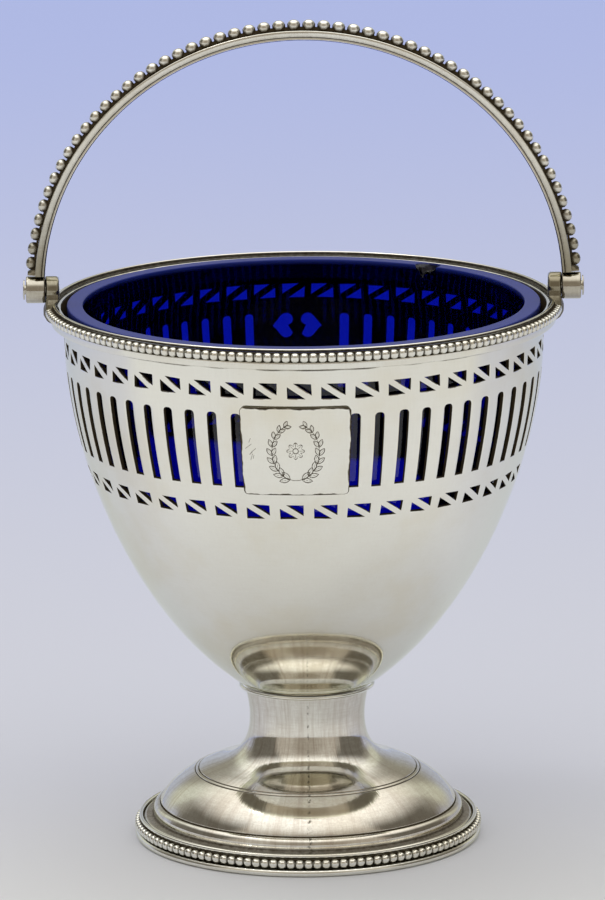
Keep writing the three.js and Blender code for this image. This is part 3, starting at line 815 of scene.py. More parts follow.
def squares_band(skin, wall, s, count, turn, base, width, height, seed, swell=0.0):
    """A band of split squares. Returns its lower and upper level and the turns of its columns.

    Cells reach half a step to both sides of evenly spaced centres, and then every turn moves
    by the swell times its sine.
    """
    low, high = base - s.band_margin, base + height + s.band_margin
    middle = base + height / 2
    half = math.pi / count
    centres = turn + np.arange(count) * 2 * half
    cell = np.array([[-half, low - middle], [half, low - middle], [-half, high - middle]])
    holes = square_holes(s, wall.radius(middle), width, height, count, seed)
    place = np.stack([centres, np.full(count, middle)], -1)[:, None, :]
    for corners, hole in zip((cell, -cell), holes):
        cells = outline(corners, SQUARE_STEPS) + place
        cells[..., 0] += swell * np.sin(cells[..., 0])
        opening = np.stack([outline(h, SQUARE_STEPS) for h in hole]) + place
        opening[..., 0] += (swell * np.sin(centres))[:, None]
        pierce(skin, wall, cells, opening, s.edge)
    steps = np.arange(SQUARE_STEPS[0]) / SQUARE_STEPS[0] - 0.5
    columns = (centres[:, None] + steps * 2 * half).ravel()
    return low, high, in_order(columns + swell * np.sin(columns))


# Steps along a slot's foot, right side, top and left side
SLOT_STEPS = (4, 14, 8, 14)
SLOT_VARIATION = 0.06
RESERVE_COLUMNS = 33


def slot_outline(s):
    """A slot with rounded shoulders, about its middle: foot, right side, top and left side."""
    x, y, r = s.slot_width / 2, s.slot_height / 2, s.slot_shoulder
    foot = side((-x, -y), (x, -y), SLOT_STEPS[0])
    right = side((x, -y), (x, y - r), SLOT_STEPS[1])
    top = np.concatenate([
        arc((x - r, y - r), r, 0, 90, 3),
        side((x - r, y), (r - x, y), 2)[1:],
        arc((r - x, y - r), r, 90, 180, 3),
    ])
    left = side((-x, y - r), (-x, -y), SLOT_STEPS[3])
    return np.concatenate([foot, right, top[:SLOT_STEPS[2]], left])


# The upper half of a heart on its side: three curves from the point over the lobe to the notch,
# as shares of its half width and half height
HEART_SHARES = (
    (((1, 0), (0.45, 0.22), (0.2, 1), (-0.35, 1)), 16),
    (((-0.35, 1), (-0.85, 1), (-1.05, 0.62), (-1, 0.38)), 10),
    (((-1, 0.38), (-0.95, 0.15), (-0.75, 0.05), (-0.55, 0)), 8),
)


def heart_outline(s):
    """A heart on its side, its point at the right, with even steps all the way round."""
    half = np.array([s.heart_width, s.heart_height]) / 2
    upper = chain(*(bezier(half * np.array(ends), steps) for ends, steps in HEART_SHARES))
    closed = np.concatenate([upper, upper[-2::-1] * np.array([1, -1])])
    run = run_along(closed)
    wanted = np.linspace(0, run[-1], sum(SLOT_STEPS), endpoint=False)
    return np.roll(points_at(wanted, run, closed), SLOT_STEPS[1] // 2 + SLOT_STEPS[0], axis=0)


def slots_band(skin, wall, s):
    """The band of slots, with a plain reserve in front and two hearts behind.

    Returns its lower and upper level and the turns of the columns at both.
    """
    low = s.slot_base - s.band_margin
    high = s.slot_base + s.slot_height + s.band_margin
    middle = s.slot_base + s.slot_height / 2
    radius = wall.radius(middle)
    front, back = s.front_width / 2 / radius, s.back_width / 2 / radius
    right = (s.front_turn + front, s.back_turn - back)
    left = (s.back_turn + back, s.front_turn + TURN - front)
    shape = slot_outline(s)
    feet, tops, edges = [], [], []
    draws = np.random.default_rng(SLOT_SEED)
    for start, end in (right, left):
        gaps = round((end - start) / (s.slot_pitch / radius))
        half = (end - start) / gaps / 2
        centres = start + np.arange(gaps + 1) * 2 * half
        corners = [(-half, low - middle), (half, low - middle),
                   (half, high - middle), (-half, high - middle)]
        place = np.stack([centres, np.full(gaps + 1, middle)], -1)[:, None, :]
        cells = outline(corners, SLOT_STEPS) + place
        stray = draws.uniform(-1, 1, (gaps + 1, 1, 2)) * s.wander
        width = 1 + draws.uniform(-1, 1, (gaps + 1, 1)) * SLOT_VARIATION
        holes = np.stack(np.broadcast_arrays(shape[:, 0] * width, shape[:, 1]), -1) + stray
        holes[..., 0] /= wall.radius(holes[..., 1] + middle)
        pierce(skin, wall, cells, holes + place, s.edge)
        for columns, number in ((feet, SLOT_STEPS[0]), (tops, SLOT_STEPS[2])):
            steps = np.arange(number) / number - 0.5
            columns.append((centres[:, None] + steps * 2 * half).ravel())
        edges.append((start - half, end + half))
    levels = np.linspace(low, high, SLOT_STEPS[1] + 1)
    plain = np.linspace(edges[1][1] - TURN, edges[0][0], RESERVE_COLUMNS)
    for depth, flip, recess in wall.sides:
        skin.grid(wall.point(plain[None, :], levels[:, None], depth), recess, flip=flip)
    hearts = hearts_of(skin, wall, s, edges[0][1], edges[1][0], low, high)
    feet += [plain[:-1], hearts[0]]
    tops += [plain[:-1], hearts[1]]
    return low, high, in_order(np.concatenate(feet)), in_order(np.concatenate(tops))


def hearts_of(skin, wall, s, start, end, low, high):
    """Two cells with a heart each, mirrored about the middle of the back reserve.

    Returns the turns of their columns at the lower and the upper level.
    """
    centre, half = (start + end) / 2, (end - start) / 2
    level = s.slot_base + s.slot_height - s.heart_drop
    radius = wall.radius(level)
    cell = outline([(0, low), (half, low), (half, high), (0, high)], SLOT_STEPS)
    hole = heart_outline(s) / np.array([radius, 1.0]) + np.array([s.heart_offset / radius, level])
    shift = np.array([centre, 0.0])
    pierce(skin, wall, (cell + shift)[None], (hole + shift)[None], s.edge)
    mirror = np.array([-1.0, 1.0])
    cell, hole = (cell * mirror + shift)[::-1], (hole * mirror + shift)[::-1]
    pierce(skin, wall, cell[None], hole[None], s.edge)
    halves = [np.arange(n) / n * half for n in (SLOT_STEPS[0], SLOT_STEPS[2])]
    return [np.concatenate([start + h, centre + h]) for h in halves]


def zip_faces(lower, upper):
    """Triangles between two rings of turns: each new point joins the last of either ring."""
    n, total = len(lower), len(lower) + len(upper)
    order = np.argsort(np.concatenate([lower, upper]), kind="stable")
    laps = np.concatenate([order, order])
    place = np.arange(2 * total)
    last_low = np.maximum.accumulate(np.where(laps < n, place, -1))
    last_high = np.maximum.accumulate(np.where(laps >= n, place, -1))
    new = np.arange(total, 2 * total)
    a, b, c = laps[last_low[new - 1]], laps[new], laps[last_high[new - 1]]
    return np.stack([a, b, c, c], -1)


def zip_band(skin, wall, lower, low_level, upper, high_level):
    """Closes the strip between two bands, outside and inside."""
    turns = np.concatenate([lower, upper])
    levels = np.concatenate([np.full(len(lower), low_level), np.full(len(upper), high_level)])
    faces = zip_faces(lower, upper)
    for depth, flip, recess in wall.sides:
        skin.add(wall.point(turns, levels, depth), faces[:, ::-1] if flip else faces, recess)


def plain_rows(skin, profile, turns, recess=0.0):
    """Rows of a profile, one after another, round the given turns."""
    points = around(profile[:, None, 0], turns[None, :], profile[:, None, 1])
    skin.grid(points, np.reshape(recess, (-1, 1)), close_columns=True)


BELOW_ROWS, ABOVE_ROWS = 60, 25
SEAM_WIDTH = 0.36 * MM


def seam_shade(sizes, heights, turns):
    """The dark line under the rim wires, painted shadow and a dark joint: a bell over the height,
    broken by two slow waves.
    """
    broken = np.clip(0.72 + 0.5 * np.sin(turns * 9 + 1) + 0.4 * np.sin(turns * 31), 0, 1)
    return bell(heights, sizes.seam, SEAM_WIDTH) * broken


def lip_rows(wall, sizes):
    """The lip: out over its slope, round its edge and back in. Returns profile and recess."""
    neck, slope = np.array([sizes.neck_height]), sizes.neck_height + sizes.lip_slope
    radius, top = sizes.neck_radius + sizes.lip_flare, slope + sizes.lip_stand
    edge = sizes.wall / 4
    lip = chain(
        wall.profile(neck), [(radius, slope)],
        arc((radius - edge, top - edge), edge, 0, 90, 3),
        arc((radius - sizes.wall + edge, top - edge), edge, 90, 180, 3),
        [(radius - sizes.wall, slope)], wall.profile(neck, wall.thickness),
    )
    last = len(lip) - 1
    # The lip's recess is painted shade: under the wires at the neck, and darkest on its inside
    # behind the glass
    shades = ((0, 0.75), (1, 0.4), (4, 0), (last - 2, 0.2), (last - 1, 0.95), (last, 0.95))
    return lip, from_table(shades, np.arange(len(lip)))


def bowl_skin(sizes, s):
    """The whole bowl: plain below, three bands with zipped strips between, plain above, lip.

    Both walls are made alike, and the base is closed by a disc outside and inside.
    """
    wall, skin = Wall(sizes), Skin()
    lower = squares_band(skin, wall, s, s.lower_count, s.lower_turn, s.lower_base,
                         s.lower_width, s.lower_height, LOWER_SEED)
    upper = squares_band(skin, wall, s, s.upper_count, s.upper_turn, s.upper_base,
                         s.upper_width, s.upper_height, UPPER_SEED, s.upper_swell)
    slots = slots_band(skin, wall, s)
    zip_band(skin, wall, lower[2], lower[1], slots[2], slots[0])
    zip_band(skin, wall, slots[3], slots[1], upper[2], upper[0])
    below = np.linspace(sizes.base_height, lower[0], BELOW_ROWS)[:, None]
    above = np.linspace(upper[1], sizes.neck_height, ABOVE_ROWS)[:, None]
    for depth, flip, recess in wall.sides:
        for heights, turns in ((below, lower[2]), (above, upper[2])):
            shade = np.maximum(seam_shade(sizes, heights, turns), recess)
            points = wall.point(turns[None, :], heights, depth)
            skin.grid(points, shade, flip=flip, close_columns=True)
        base = wall.profile(below[0], depth)
        disc = np.concatenate([base * np.array([0, 1]), base])
        plain_rows(skin, disc[::-1] if flip else disc, lower[2], recess)
    lip, shade = lip_rows(wall, sizes)
    plain_rows(skin, lip, upper[2], shade)
    return skin


class BASKET_OT_bowl(bpy.types.Operator):
    """Build the raised and pierced bowl"""

    bl_idname = "basket.bowl"
    bl_label = "Pierced bowl"

    def execute(self, context):
        scene = context.scene
        skin = bowl_skin(scene.basket_bowl, scene.basket_piercing)
        make_piece("pierced_bowl", skin, "silver_bowl", "bowl", crease=30)
        return {"FINISHED"}


# Plate

# Angles on the wreath's ellipse at which leaves stand, in degrees, and where its stems end
LEAF_ANGLES = np.linspace(-75, 62, 9)
STEM_END = 66
# How far a leaf leans from its stem, in radians, and by how much each pair is smaller
LEAF_LEAN = 0.5
LEAF_SIZE, LEAF_LESS = 1.75 * MM, 0.07 * MM
# Half length of a leaf, the same with its tips, half width and half length of its vein, all
# as shares of its size
REACH_SHARE, SPAN_SHARE, WIDTH_SHARE, VEIN_SHARE = 0.62, 0.64, 0.27, 0.4
# What is added to the distance from a vein, or from a stem, spoke or scratch, to thin it, as
# shares of a line's half width
VEIN_THINNING, STEM_THINNING = 0.4, 0.3
# A distance that no line reaches
FAR = 1.0


def leaf_lines(u, v, s):
    """Distance to the nearest engraved line of a wreath: leaves in pairs along two stems.

    A leaf's outline is a parabola on both sides of its vein, and the stems are an ellipse
    that stays open at the top.
    """
    a, b = s.wreath_width / 2, s.wreath_height / 2
    nearest = np.full(u.shape, FAR)
    for mirror in (1, -1):
        for k, t in enumerate(np.radians(LEAF_ANGLES)):
            x, y = mirror * a * math.cos(t), b * math.sin(t)
            along = math.atan2(b * math.cos(t), -mirror * a * math.sin(t))
            size = LEAF_SIZE - LEAF_LESS * k
            reach = size * REACH_SHARE
            for aim in (along + LEAF_LEAN, along - LEAF_LEAN):
                p, q = turned(u - x, v - y, aim)
                p = p - reach
                width = np.clip(1 - (p / reach) ** 2, 0, 1) * size * WIDTH_SHARE
                vein = np.abs(q) + s.line * VEIN_THINNING
                away = np.where(np.abs(p) < size * SPAN_SHARE, np.abs(np.abs(q) - width), FAR)
                away = np.minimum(away, np.where(np.abs(p) < size * VEIN_SHARE, vein, FAR))
                nearest = np.minimum(nearest, away)
    stem = np.abs(np.hypot(u / a, v / b) - 1) * min(a, b) + s.line * STEM_THINNING
    closed = np.arctan2(v / b, np.abs(u) / a) < math.radians(STEM_END)
    return np.minimum(nearest, np.where(closed, stem, FAR))


def turned(u, v, aim):
    """The same place as distances along and across a direction."""
    c, s = math.cos(aim), math.sin(aim)
    return u * c + v * s, v * c - u * s


PETAL, PETAL_NOTCH, PETALS = 1.75 * MM, 0.62, 8
ROSETTE_RING = 0.55 * MM
SPOKE_START, SPOKE_END = 0.75 * MM, 1.5 * MM


def rosette_lines(u, v, s):
    """Distance to a rosette inside the wreath: petals as the cosine's size, a ring, spokes."""
    radius, turn = np.hypot(u, v), np.arctan2(v, u) * PETALS / 2
    petal = PETAL * (PETAL_NOTCH + (1 - PETAL_NOTCH) * np.abs(np.cos(turn)))
    lines = np.minimum(np.abs(radius - petal), np.abs(radius - ROSETTE_RING))
    spoke = np.abs(np.sin(turn)) * radius / (PETALS / 2) + s.line * STEM_THINNING
    between = (radius > SPOKE_START) & (radius < SPOKE_END)
    return np.minimum(lines, np.where(between, spoke, FAR))


SCRATCHES = 6


def scratch_lines(u, v, s):
    """Distance to a few short old scratches near the plate's left edge."""
    nearest = np.full(u.shape, FAR)
    draws = np.random.default_rng(SCRATCH_SEED)
    for x, y, aim, size in zip(
        draws.uniform(-9.6, -8.3, SCRATCHES) * MM, draws.uniform(-1.2, 2.4, SCRATCHES) * MM,
        draws.uniform(0.2, 1.4, SCRATCHES), draws.uniform(0.4, 0.9, SCRATCHES) * MM,
    ):
        p, q = turned(u - x, v - y, aim)
        away = np.where(np.abs(p) < size, np.abs(q) + s.line * STEM_THINNING, FAR)
        nearest = np.minimum(nearest, away)
    return nearest


ROSETTE_RISE = 0.3 * MM
SOFT_EDGE, SOFT_DEPTH = 0.3 * MM, 0.12 * MM
# Width of the plate's dark edge: painted shade in its gap beside the wall, with tarnish
SHADED_EDGE_WIDTH = 0.25 * MM


def plate_skin(wall, s, turn):
    """A curved sheet with rounded corners: a front and a back, joined along their four edges.

    Both are a grid pressed into the rounded outline: across, the half width shrinks near the
    top and bottom by the corner's circle. The front is pressed in along the engraved lines
    and softly at its edge, which is dark over a width that slow and quick waves change.
    """
    half_w, half_h = s.width / 2, s.height / 2
    across = np.linspace(-1, 1, round(s.width / s.grain) + 1)
    up = np.linspace(-1, 1, round(s.height / s.grain) + 1)
    v = np.broadcast_to((up * half_h)[:, None], (len(up), len(across)))
    into = np.clip(np.abs(v) - (half_h - s.corner), 0, s.corner)
    reach = half_w - s.corner + np.sqrt(np.clip(s.corner**2 - into**2, 0, None))
    u = across[None, :] * reach
    distance = np.minimum(leaf_lines(u, v, s), rosette_lines(u, v - ROSETTE_RISE, s))
    distance = np.minimum(distance, scratch_lines(u, v, s))
    line = np.clip(1 - (distance / s.line) ** 2, 0, 1)
    border = np.minimum(reach - np.abs(u), half_h - np.abs(v))
    soft = np.clip(1 - border / SOFT_EDGE, 0, 1) ** 2 * SOFT_DEPTH
    slow, quick = np.sin(u * 730 + v * 510 + 2), np.sin(u * 1900 - v * 1300)
    # The plate's dark edge and side faces: painted shade in the gap beside the wall, with tarnish,
    # over a width that wavers
    worn = SHADED_EDGE_WIDTH * (1 + 0.45 * slow + 0.3 * quick + 0.12 * np.sin(u * 4700 + v * 3900))
    dark_edge = np.clip(1.5 - border / worn, 0, 1)
    turns, level = turn + u / wall.radius(s.base + half_h), s.base + half_h + v
    front = wall.point(turns, level, -(s.lift + s.thickness) + line * s.cut + soft)
    back = wall.point(turns, level, np.full(u.shape, -s.lift))
    skin = Skin().grid(front, np.maximum(line, dark_edge)).grid(back, flip=True)
    bottom, top, left, right = np.s_[0], np.s_[-1], np.s_[:, 0], np.s_[:, -1]
    for rim, flip in ((bottom, False), (top, True), (left, True), (right, False)):
        skin.grid(np.stack([back[rim], front[rim]]), 1.0, flip=flip)
    return skin


class BASKET_OT_plate(bpy.types.Operator):
    """Build the engraved plate on the front reserve"""

    bl_idname = "basket.plate"
    bl_label = "Reserve plate"

    def execute(self, context):
        scene = context.scene
        turn = scene.basket_piercing.front_turn
        skin = plate_skin(Wall(scene.basket_bowl), scene.basket_plate, turn)
        make_piece("engraved_plate", skin, "silver_bowl", "reserve_plate", crease=40)
        return {"FINISHED"}


# Wires

BEAD_ROWS, BEAD_SIDES = 7, 10
WIRE_SEGMENTS, WIRE_SIDES = 240, 16
BACKING_SEGMENTS = 180
FOOT_SEGMENTS = 256
# Half length of a bead along its ring, as a share of the distance between beads
BESIDE_SHARE = 0.53
# The flat wire behind a ring of beads: its half height as a share of a bead's, and its faces
BACKING_SHARE = 0.85
BACKING_BACK, BACKING_FRONT = 1.3 * MM, 0.2 * MM


def wire_ring(radius, height, wire, recess=0.0):
    """A torus: the wire's circle carried round Z."""
    circle = arc((radius, height), wire, 0, 360, WIRE_SIDES)
    return lathe(circle, even_turns(WIRE_SEGMENTS), recess)


def bead_grid():
    """A unit ball: rows from pole to pole along X, sides round it."""
    polar = np.linspace(0, math.pi, BEAD_ROWS + 1)[:, None]
    turn = even_turns(BEAD_SIDES)[None, :]
    parts = [np.cos(polar), np.sin(polar) * np.cos(turn), np.sin(polar) * np.sin(turn)]
    return np.stack(np.broadcast_arrays(*parts), -1)


def bead_row(skin, centres, out, along, up, sizes, under=0.5, square=0.85):
    """A ball at each centre, scaled along its own three directions, and squared a little by
    raising its coordinates to a power. Its recess grows towards its back, its underside and
    its neighbours."""
    ball = bead_grid()
    scaled = np.sign(ball) * np.abs(ball) ** square * np.asarray(sizes)
    axes = np.stack(np.broadcast_arrays(out, along, up), 1)
    points = centres[:, None, None, :] + np.einsum("rsk,nkc->nrsc", scaled, axes)
    # Recess of a bead: painted shade towards its back, underside and neighbours, where beads shadow
    # each other, with tarnish in the gaps
    beside = np.clip(np.abs(ball[..., 1]) * 1.5 - 0.6, 0, 1)
    below = np.clip(-ball[..., 2] * 1.6 - 0.75, 0, 1)
    behind = np.clip(0.35 - ball[..., 0], 0, 1)
    recess = np.clip(beside * 0.82 + below * under + behind * 0.9, 0, 1)
    faces = grid_faces(BEAD_ROWS + 1, BEAD_SIDES, close_columns=True)
    skin.copies(points, faces, recess)


def bead_ring(s):
    """A ring of beads round Z, with a flat wire behind them, dark with painted shade between the
    beads.
    """
    radius, height, half = s.bead_radius, s.bead_height, s.bead / 2
    low, high = height - half * BACKING_SHARE, height + half * BACKING_SHARE
    back, front = radius - BACKING_BACK, radius - BACKING_FRONT
    strip = np.array([(back, low), (front, low), (front, high), (back, high), (back, low)])
    skin = lathe(strip, even_turns(BACKING_SEGMENTS), [0.65, 1, 1, 0.65, 0.65])
    turns = even_turns(s.bead_count)
    out, along = around(1.0, turns, 0.0), around(1.0, turns + TURN / 4, 0.0)
    sizes = (s.bead_reach, TURN * radius / s.bead_count * BESIDE_SHARE, half)
    bead_row(skin, around(radius, turns, height), out, along, (0, 0, 1), sizes)
    return skin


# Handles of the foot's curves, in millimetres outwards and up from the curve's two ends
COVE_HANDLES = ((-0.65, 0), (0, -0.75))
OVOLO_HANDLES = ((0.15, 0.9), (0.75, -0.05))
DOME_HANDLES = ((-2.1, 4.2), (4.2, -1.2))
STEM_HANDLES = ((-5, 1.5), (0, -6.5))
TOP_HANDLES = ((0, 1.6), (-0.75, -3.2))
COVE_WIDTH = 0.75 * MM
# How far the ovolo ends outside the dome's edge and below it
QUIRK_OUT, QUIRK_DOWN = 0.15 * MM, 0.1 * MM
EDGE_ROUNDING, EDGE_LIFT = 0.25 * MM, 0.3 * MM


def curve(start, end, handles, steps):
    """A cubic curve with its handles in millimetres from its ends."""
    first, second = np.array(handles) * MM
    return bezier([start, start + first, end + second, end], steps)


def foot_profile(s):
    """The foot's outside from its edge up to the stem's top: cove, ovolo, dome and stem."""
    flange = s.flange_height
    start = np.array([s.cove_radius + COVE_WIDTH, flange])
    cove = np.array([s.cove_radius, s.cove_height])
    dome = np.array([s.dome_radius, s.dome_height])
    flare = np.array([s.flare_radius, s.flare_height])
    waist = np.array([s.waist_radius, s.waist_height])
    top = np.array([s.top_radius, s.top_height])
    return chain(
        [(s.edge_radius, s.wire_height + EDGE_LIFT), (s.edge_radius, flange - EDGE_ROUNDING),
         (s.edge_radius - EDGE_ROUNDING, flange)],
        curve(start, cove, COVE_HANDLES, 10),
        curve(cove, dome + np.array([QUIRK_OUT, -QUIRK_DOWN]), OVOLO_HANDLES, 14),
        curve(dome, flare, DOME_HANDLES, 90),
        curve(flare, waist, STEM_HANDLES, 60),
        curve(waist, top, TOP_HANDLES, 30),
    )


def nearest_of(radii, places):
    """Distance of each radius to the nearest of the places."""
    return np.min(np.abs(radii[:, None] - np.asarray(places)[None, :]), axis=1)


def grooved(profile, places, width, depth):
    """The profile pressed in by a rounded groove at each radius, and how deep each point lies."""
    press = np.clip(1 - (nearest_of(profile[:, 0], places) / (width / 2)) ** 2, 0, 1)
    return offset(profile, (press * depth)[:, None]), press


FINE_STEPS = 2000
COARSE = 0.32 * MM


def refined(profile, places, reach):
    """The profile with even steps of its length, four times closer within reach of a place."""
    run = run_along(profile)
    even = np.linspace(0, run[-1], FINE_STEPS)
    points = points_at(even, run, profile)
    dense = np.where(nearest_of(points[:, 0], places) < reach, 4.0, 1.0)
    count = np.r_[0, np.cumsum((dense[1:] + dense[:-1]) / 2 * np.diff(even))] / COARSE
    wanted = np.linspace(0, count[-1], int(count[-1]) + 1)
    return chain(points_at(wanted, count, points))


COLLAR_SHADOW = 0.7 * MM
# The dark line in the cove, tarnish with a painted dark reflection: its rise over the flange, its
# width, and the bare margin outside
DARK_RISE, DARK_WIDTH, DARK_MARGIN = 0.3 * MM, 0.6 * MM, 0.4 * MM
# The plain inside starts a little over the flange and takes every sixth point of the outside
INSIDE_START, INSIDE_STRIDE = 0.05 * MM, 6


def foot_skin(s):
    """The foot shell: its grooved outside, and a plain inside one sheet further in."""
    places = [s.pair_radius - s.pair_gap / 2, s.pair_radius + s.pair_gap / 2, s.dome_radius]
    outside = refined(foot_profile(s), places, s.groove_width)
    outside, press = grooved(outside, places, s.groove_width, s.groove)
    in_cove = bell(outside[:, 1], s.flange_height + DARK_RISE, DARK_WIDTH)
    in_cove *= outside[:, 0] < s.edge_radius - DARK_MARGIN
    at_collar = np.clip((outside[:, 1] - s.top_height) / COLLAR_SHADOW + 1, 0, 1)
    shade = np.maximum.reduce([press * 0.95, in_cove * 0.74, at_collar * 0.6])
    plain = foot_profile(s)
    above = plain[plain[:, 1] > s.flange_height + INSIDE_START][::INSIDE_STRIDE]
    inside = offset(above, s.sheet)
    inside[-1] = (s.top_radius - s.sheet, s.top_height)
    rim, under = s.edge_radius - s.sheet, s.flange_height - s.sheet
    lower = [(rim, s.wire_height + EDGE_LIFT), (rim, under), (inside[0, 0], under)]
    inside = chain(lower, inside)[::-1]
    profile = np.concatenate([outside, inside, outside[:1]])
    # The hidden inside is darkened a little as painted shade
    shade = np.concatenate([shade, np.full(len(inside), 0.5), shade[:1]])
    return lathe(profile, even_turns(FOOT_SEGMENTS), shade)


class BASKET_OT_foot(bpy.types.Operator):
    """Build the raised foot with its engraved lines"""

    bl_idname = "basket.foot"
    bl_label = "Raised foot"

    def execute(self, context):
        skin = foot_skin(context.scene.basket_foot)
        make_piece("raised_foot", skin, "silver_foot", "foot_shell", crease=45)
        return {"FINISHED"}


def base_wire_skin(s):
    """The plain wire on the table: flat below and inside, rounded outside."""
    height, inner = s.wire_height, s.wire_radius - s.wire_width
    nose = arc((s.wire_radius - height / 2, height / 2), height / 2, -90, 90, 12)
    section = chain([(inner, 0)], nose, [(inner, height), (inner, 0)])
    return lathe(section, even_turns(FOOT_SEGMENTS))


class BASKET_OT_foot_wires(bpy.types.Operator):
    """Build the foot's wires: plain, beaded and fine, and the collar under the bowl"""

    bl_idname = "basket.foot_wires"
    bl_label = "Foot wires"

    def execute(self, context):
        s = context.scene.basket_foot
        fine = wire_ring(s.fine_radius, s.fine_height, s.fine_wire)
        collar = wire_ring(s.collar_radius, s.collar_height, s.collar_wire)
        make_piece("foot_plain_wire", base_wire_skin(s), "silver_wire", "foot_base_wire")
        make_piece("foot_beads", bead_ring(s), "silver_wire", "foot_bead_wire", crease=60)
        make_piece("foot_fine_wire", fine, "silver_wire", "foot_edge_wire")
        make_piece("collar_wire", collar, "silver_wire", "stem_collar")
        return {"FINISHED"}


UNDER_ROUNDING = 0.3 * MM
UNDER_LEAN = 0.08 * MM


def under_section(s):
    """The under wire: an oblong with rounded edges and a face that leans in a little."""
    r = UNDER_ROUNDING
    low, high = s.under_low + r, s.under_high - r
    inner, outer = s.under_inner + r, s.under_outer - r
    line = chain(
        arc((outer, low), r, -90, 0, 5), arc((outer - UNDER_LEAN, high), r, 0, 90, 5),
        arc((inner, high), r, 90, 180, 3), arc((inner, low), r, 180, 270, 3),
    )
    return np.concatenate([line, line[:1]])


class BASKET_OT_rim_wires(bpy.types.Operator):
    """Build the rim's wires: plain below, beaded, and a fine one on top, with painted shade on its
    flanks
    """

    bl_idname = "basket.rim_wires"
    bl_label = "Rim wires"

    def execute(self, context):
        s = context.scene.basket_rim
        # Painted shade on the fine wire: dark all round but its top
        up = np.sin(np.linspace(0, TURN, WIRE_SIDES + 1))
        shade = np.clip((0.8 - up) / 0.45, 0, 1) * 0.75
        edge = wire_ring(s.edge_radius, s.edge_height, s.edge_wire, shade)
        under = lathe(under_section(s), even_turns(WIRE_SEGMENTS))
        make_piece("rim_beads", bead_ring(s), "silver_wire", "rim_bead_wire", crease=60)
        make_piece("rim_fine_wire", edge, "silver_wire", "rim_edge_wire")
        make_piece("rim_plain_wire", under, "silver_wire", "rim_under_wire")
        return {"FINISHED"}


# Hinges

BARREL_ROUNDING, BARREL_CLEARANCE = 0.3 * MM, 0.2 * MM
# How far the painted shade reaches on to a barrel from the lug and from the head
LUG_SHADOW, HEAD_SHADOW = 0.4 * MM, 0.2 * MM
PIN_INSET = 0.05 * MM
# The pin's head: its whole thickness, and the height of its upright side and of its dome
HEAD_THICKNESS, HEAD_SIDE, HEAD_DOME = 0.45 * MM, 0.25 * MM, 0.16 * MM


def along_x(profile, pivot, sign, recess=0.0, segments=48):
    """A profile of radius and distance carried round the pivot's axis, which lies along X."""
    a = even_turns(segments)[:, None]
    r, x = profile[None, :, 0], profile[None, :, 1]
    parts = np.broadcast_arrays(sign * x, r * np.cos(a), pivot + r * np.sin(a))
    return Skin().grid(np.stack(parts, -1), recess, close_rows=True)


def barrel_skin(s, sign):
    """A short tube with worn edges, round the pin, darker with painted shade where it meets lug and
    head.
    """
    inner, outer, worn = s.barrel_inner, s.barrel_inner + s.barrel_length, BARREL_ROUNDING
    bore, r = s.pin_radius + BARREL_CLEARANCE, s.barrel_radius
    profile = chain(
        [(bore, inner)], arc((r - worn, inner + worn), worn, -90, 0, 4),
        arc((r - worn, outer - worn), worn, 0, 90, 4), [(bore, outer), (bore, inner)],
    )
    shades = ((inner, 0.9), (inner + LUG_SHADOW, 0), (outer - HEAD_SHADOW, 0), (outer, 0.7))
    return along_x(profile, s.pivot, sign, from_table(shades, profile[:, 1]))


def pin_skin(s, sign):
    """A pin with a thin head outside, domed by a quarter of a sine."""
    inner, seat, r = s.lug_inner + PIN_INSET, s.head_outer - HEAD_THICKNESS, s.head_radius
    a = np.linspace(0, 1, 7) * math.pi / 2
    cap = np.stack([r * np.cos(a), seat + HEAD_SIDE + HEAD_DOME * np.sin(a)], -1)
    shaft = [(0, inner), (s.pin_radius, inner), (s.pin_radius, seat), (r, seat)]
    return along_x(chain(shaft, cap, [(0, cap[-1, 1])]), s.pivot, sign, segments=40)


# A lug's measures by the rise over its root's base, all in millimetres
LUG_FAN = ((0, 5.5), (0.6, 6.2), (1.6, 6.4), (2.6, 5.9), (3.2, 5), (3.8, 3.9), (4.6, 3.1),
           (5.6, 2.82))
LUG_INNER = ((0, 52.4), (3, 52.2), (3.7, 51.9), (4.3, 51.07))
LUG_OUTER = ((0, 53.1), (0.5, 53.9), (1.4, 54.4), (2.4, 54.4), (3.2, 54.1), (4.2, 53.88))
# The power that rounds its section, from oblong to nearly square, and its recess, painted shade
# that is darkest at the root
LUG_POWER = ((0, 0.75), (3, 0.6), (4.5, 0.3))
LUG_SHADE = ((0, 0.8), (1, 0.55), (2.6, 0.6), (4.2, 0.5), (5.5, 0.35), (8, 0))
LUG_CROWN = 0.9 * MM
LUG_SIDES, HEAD_ROWS, COLUMN_ROWS = 56, 30, 60


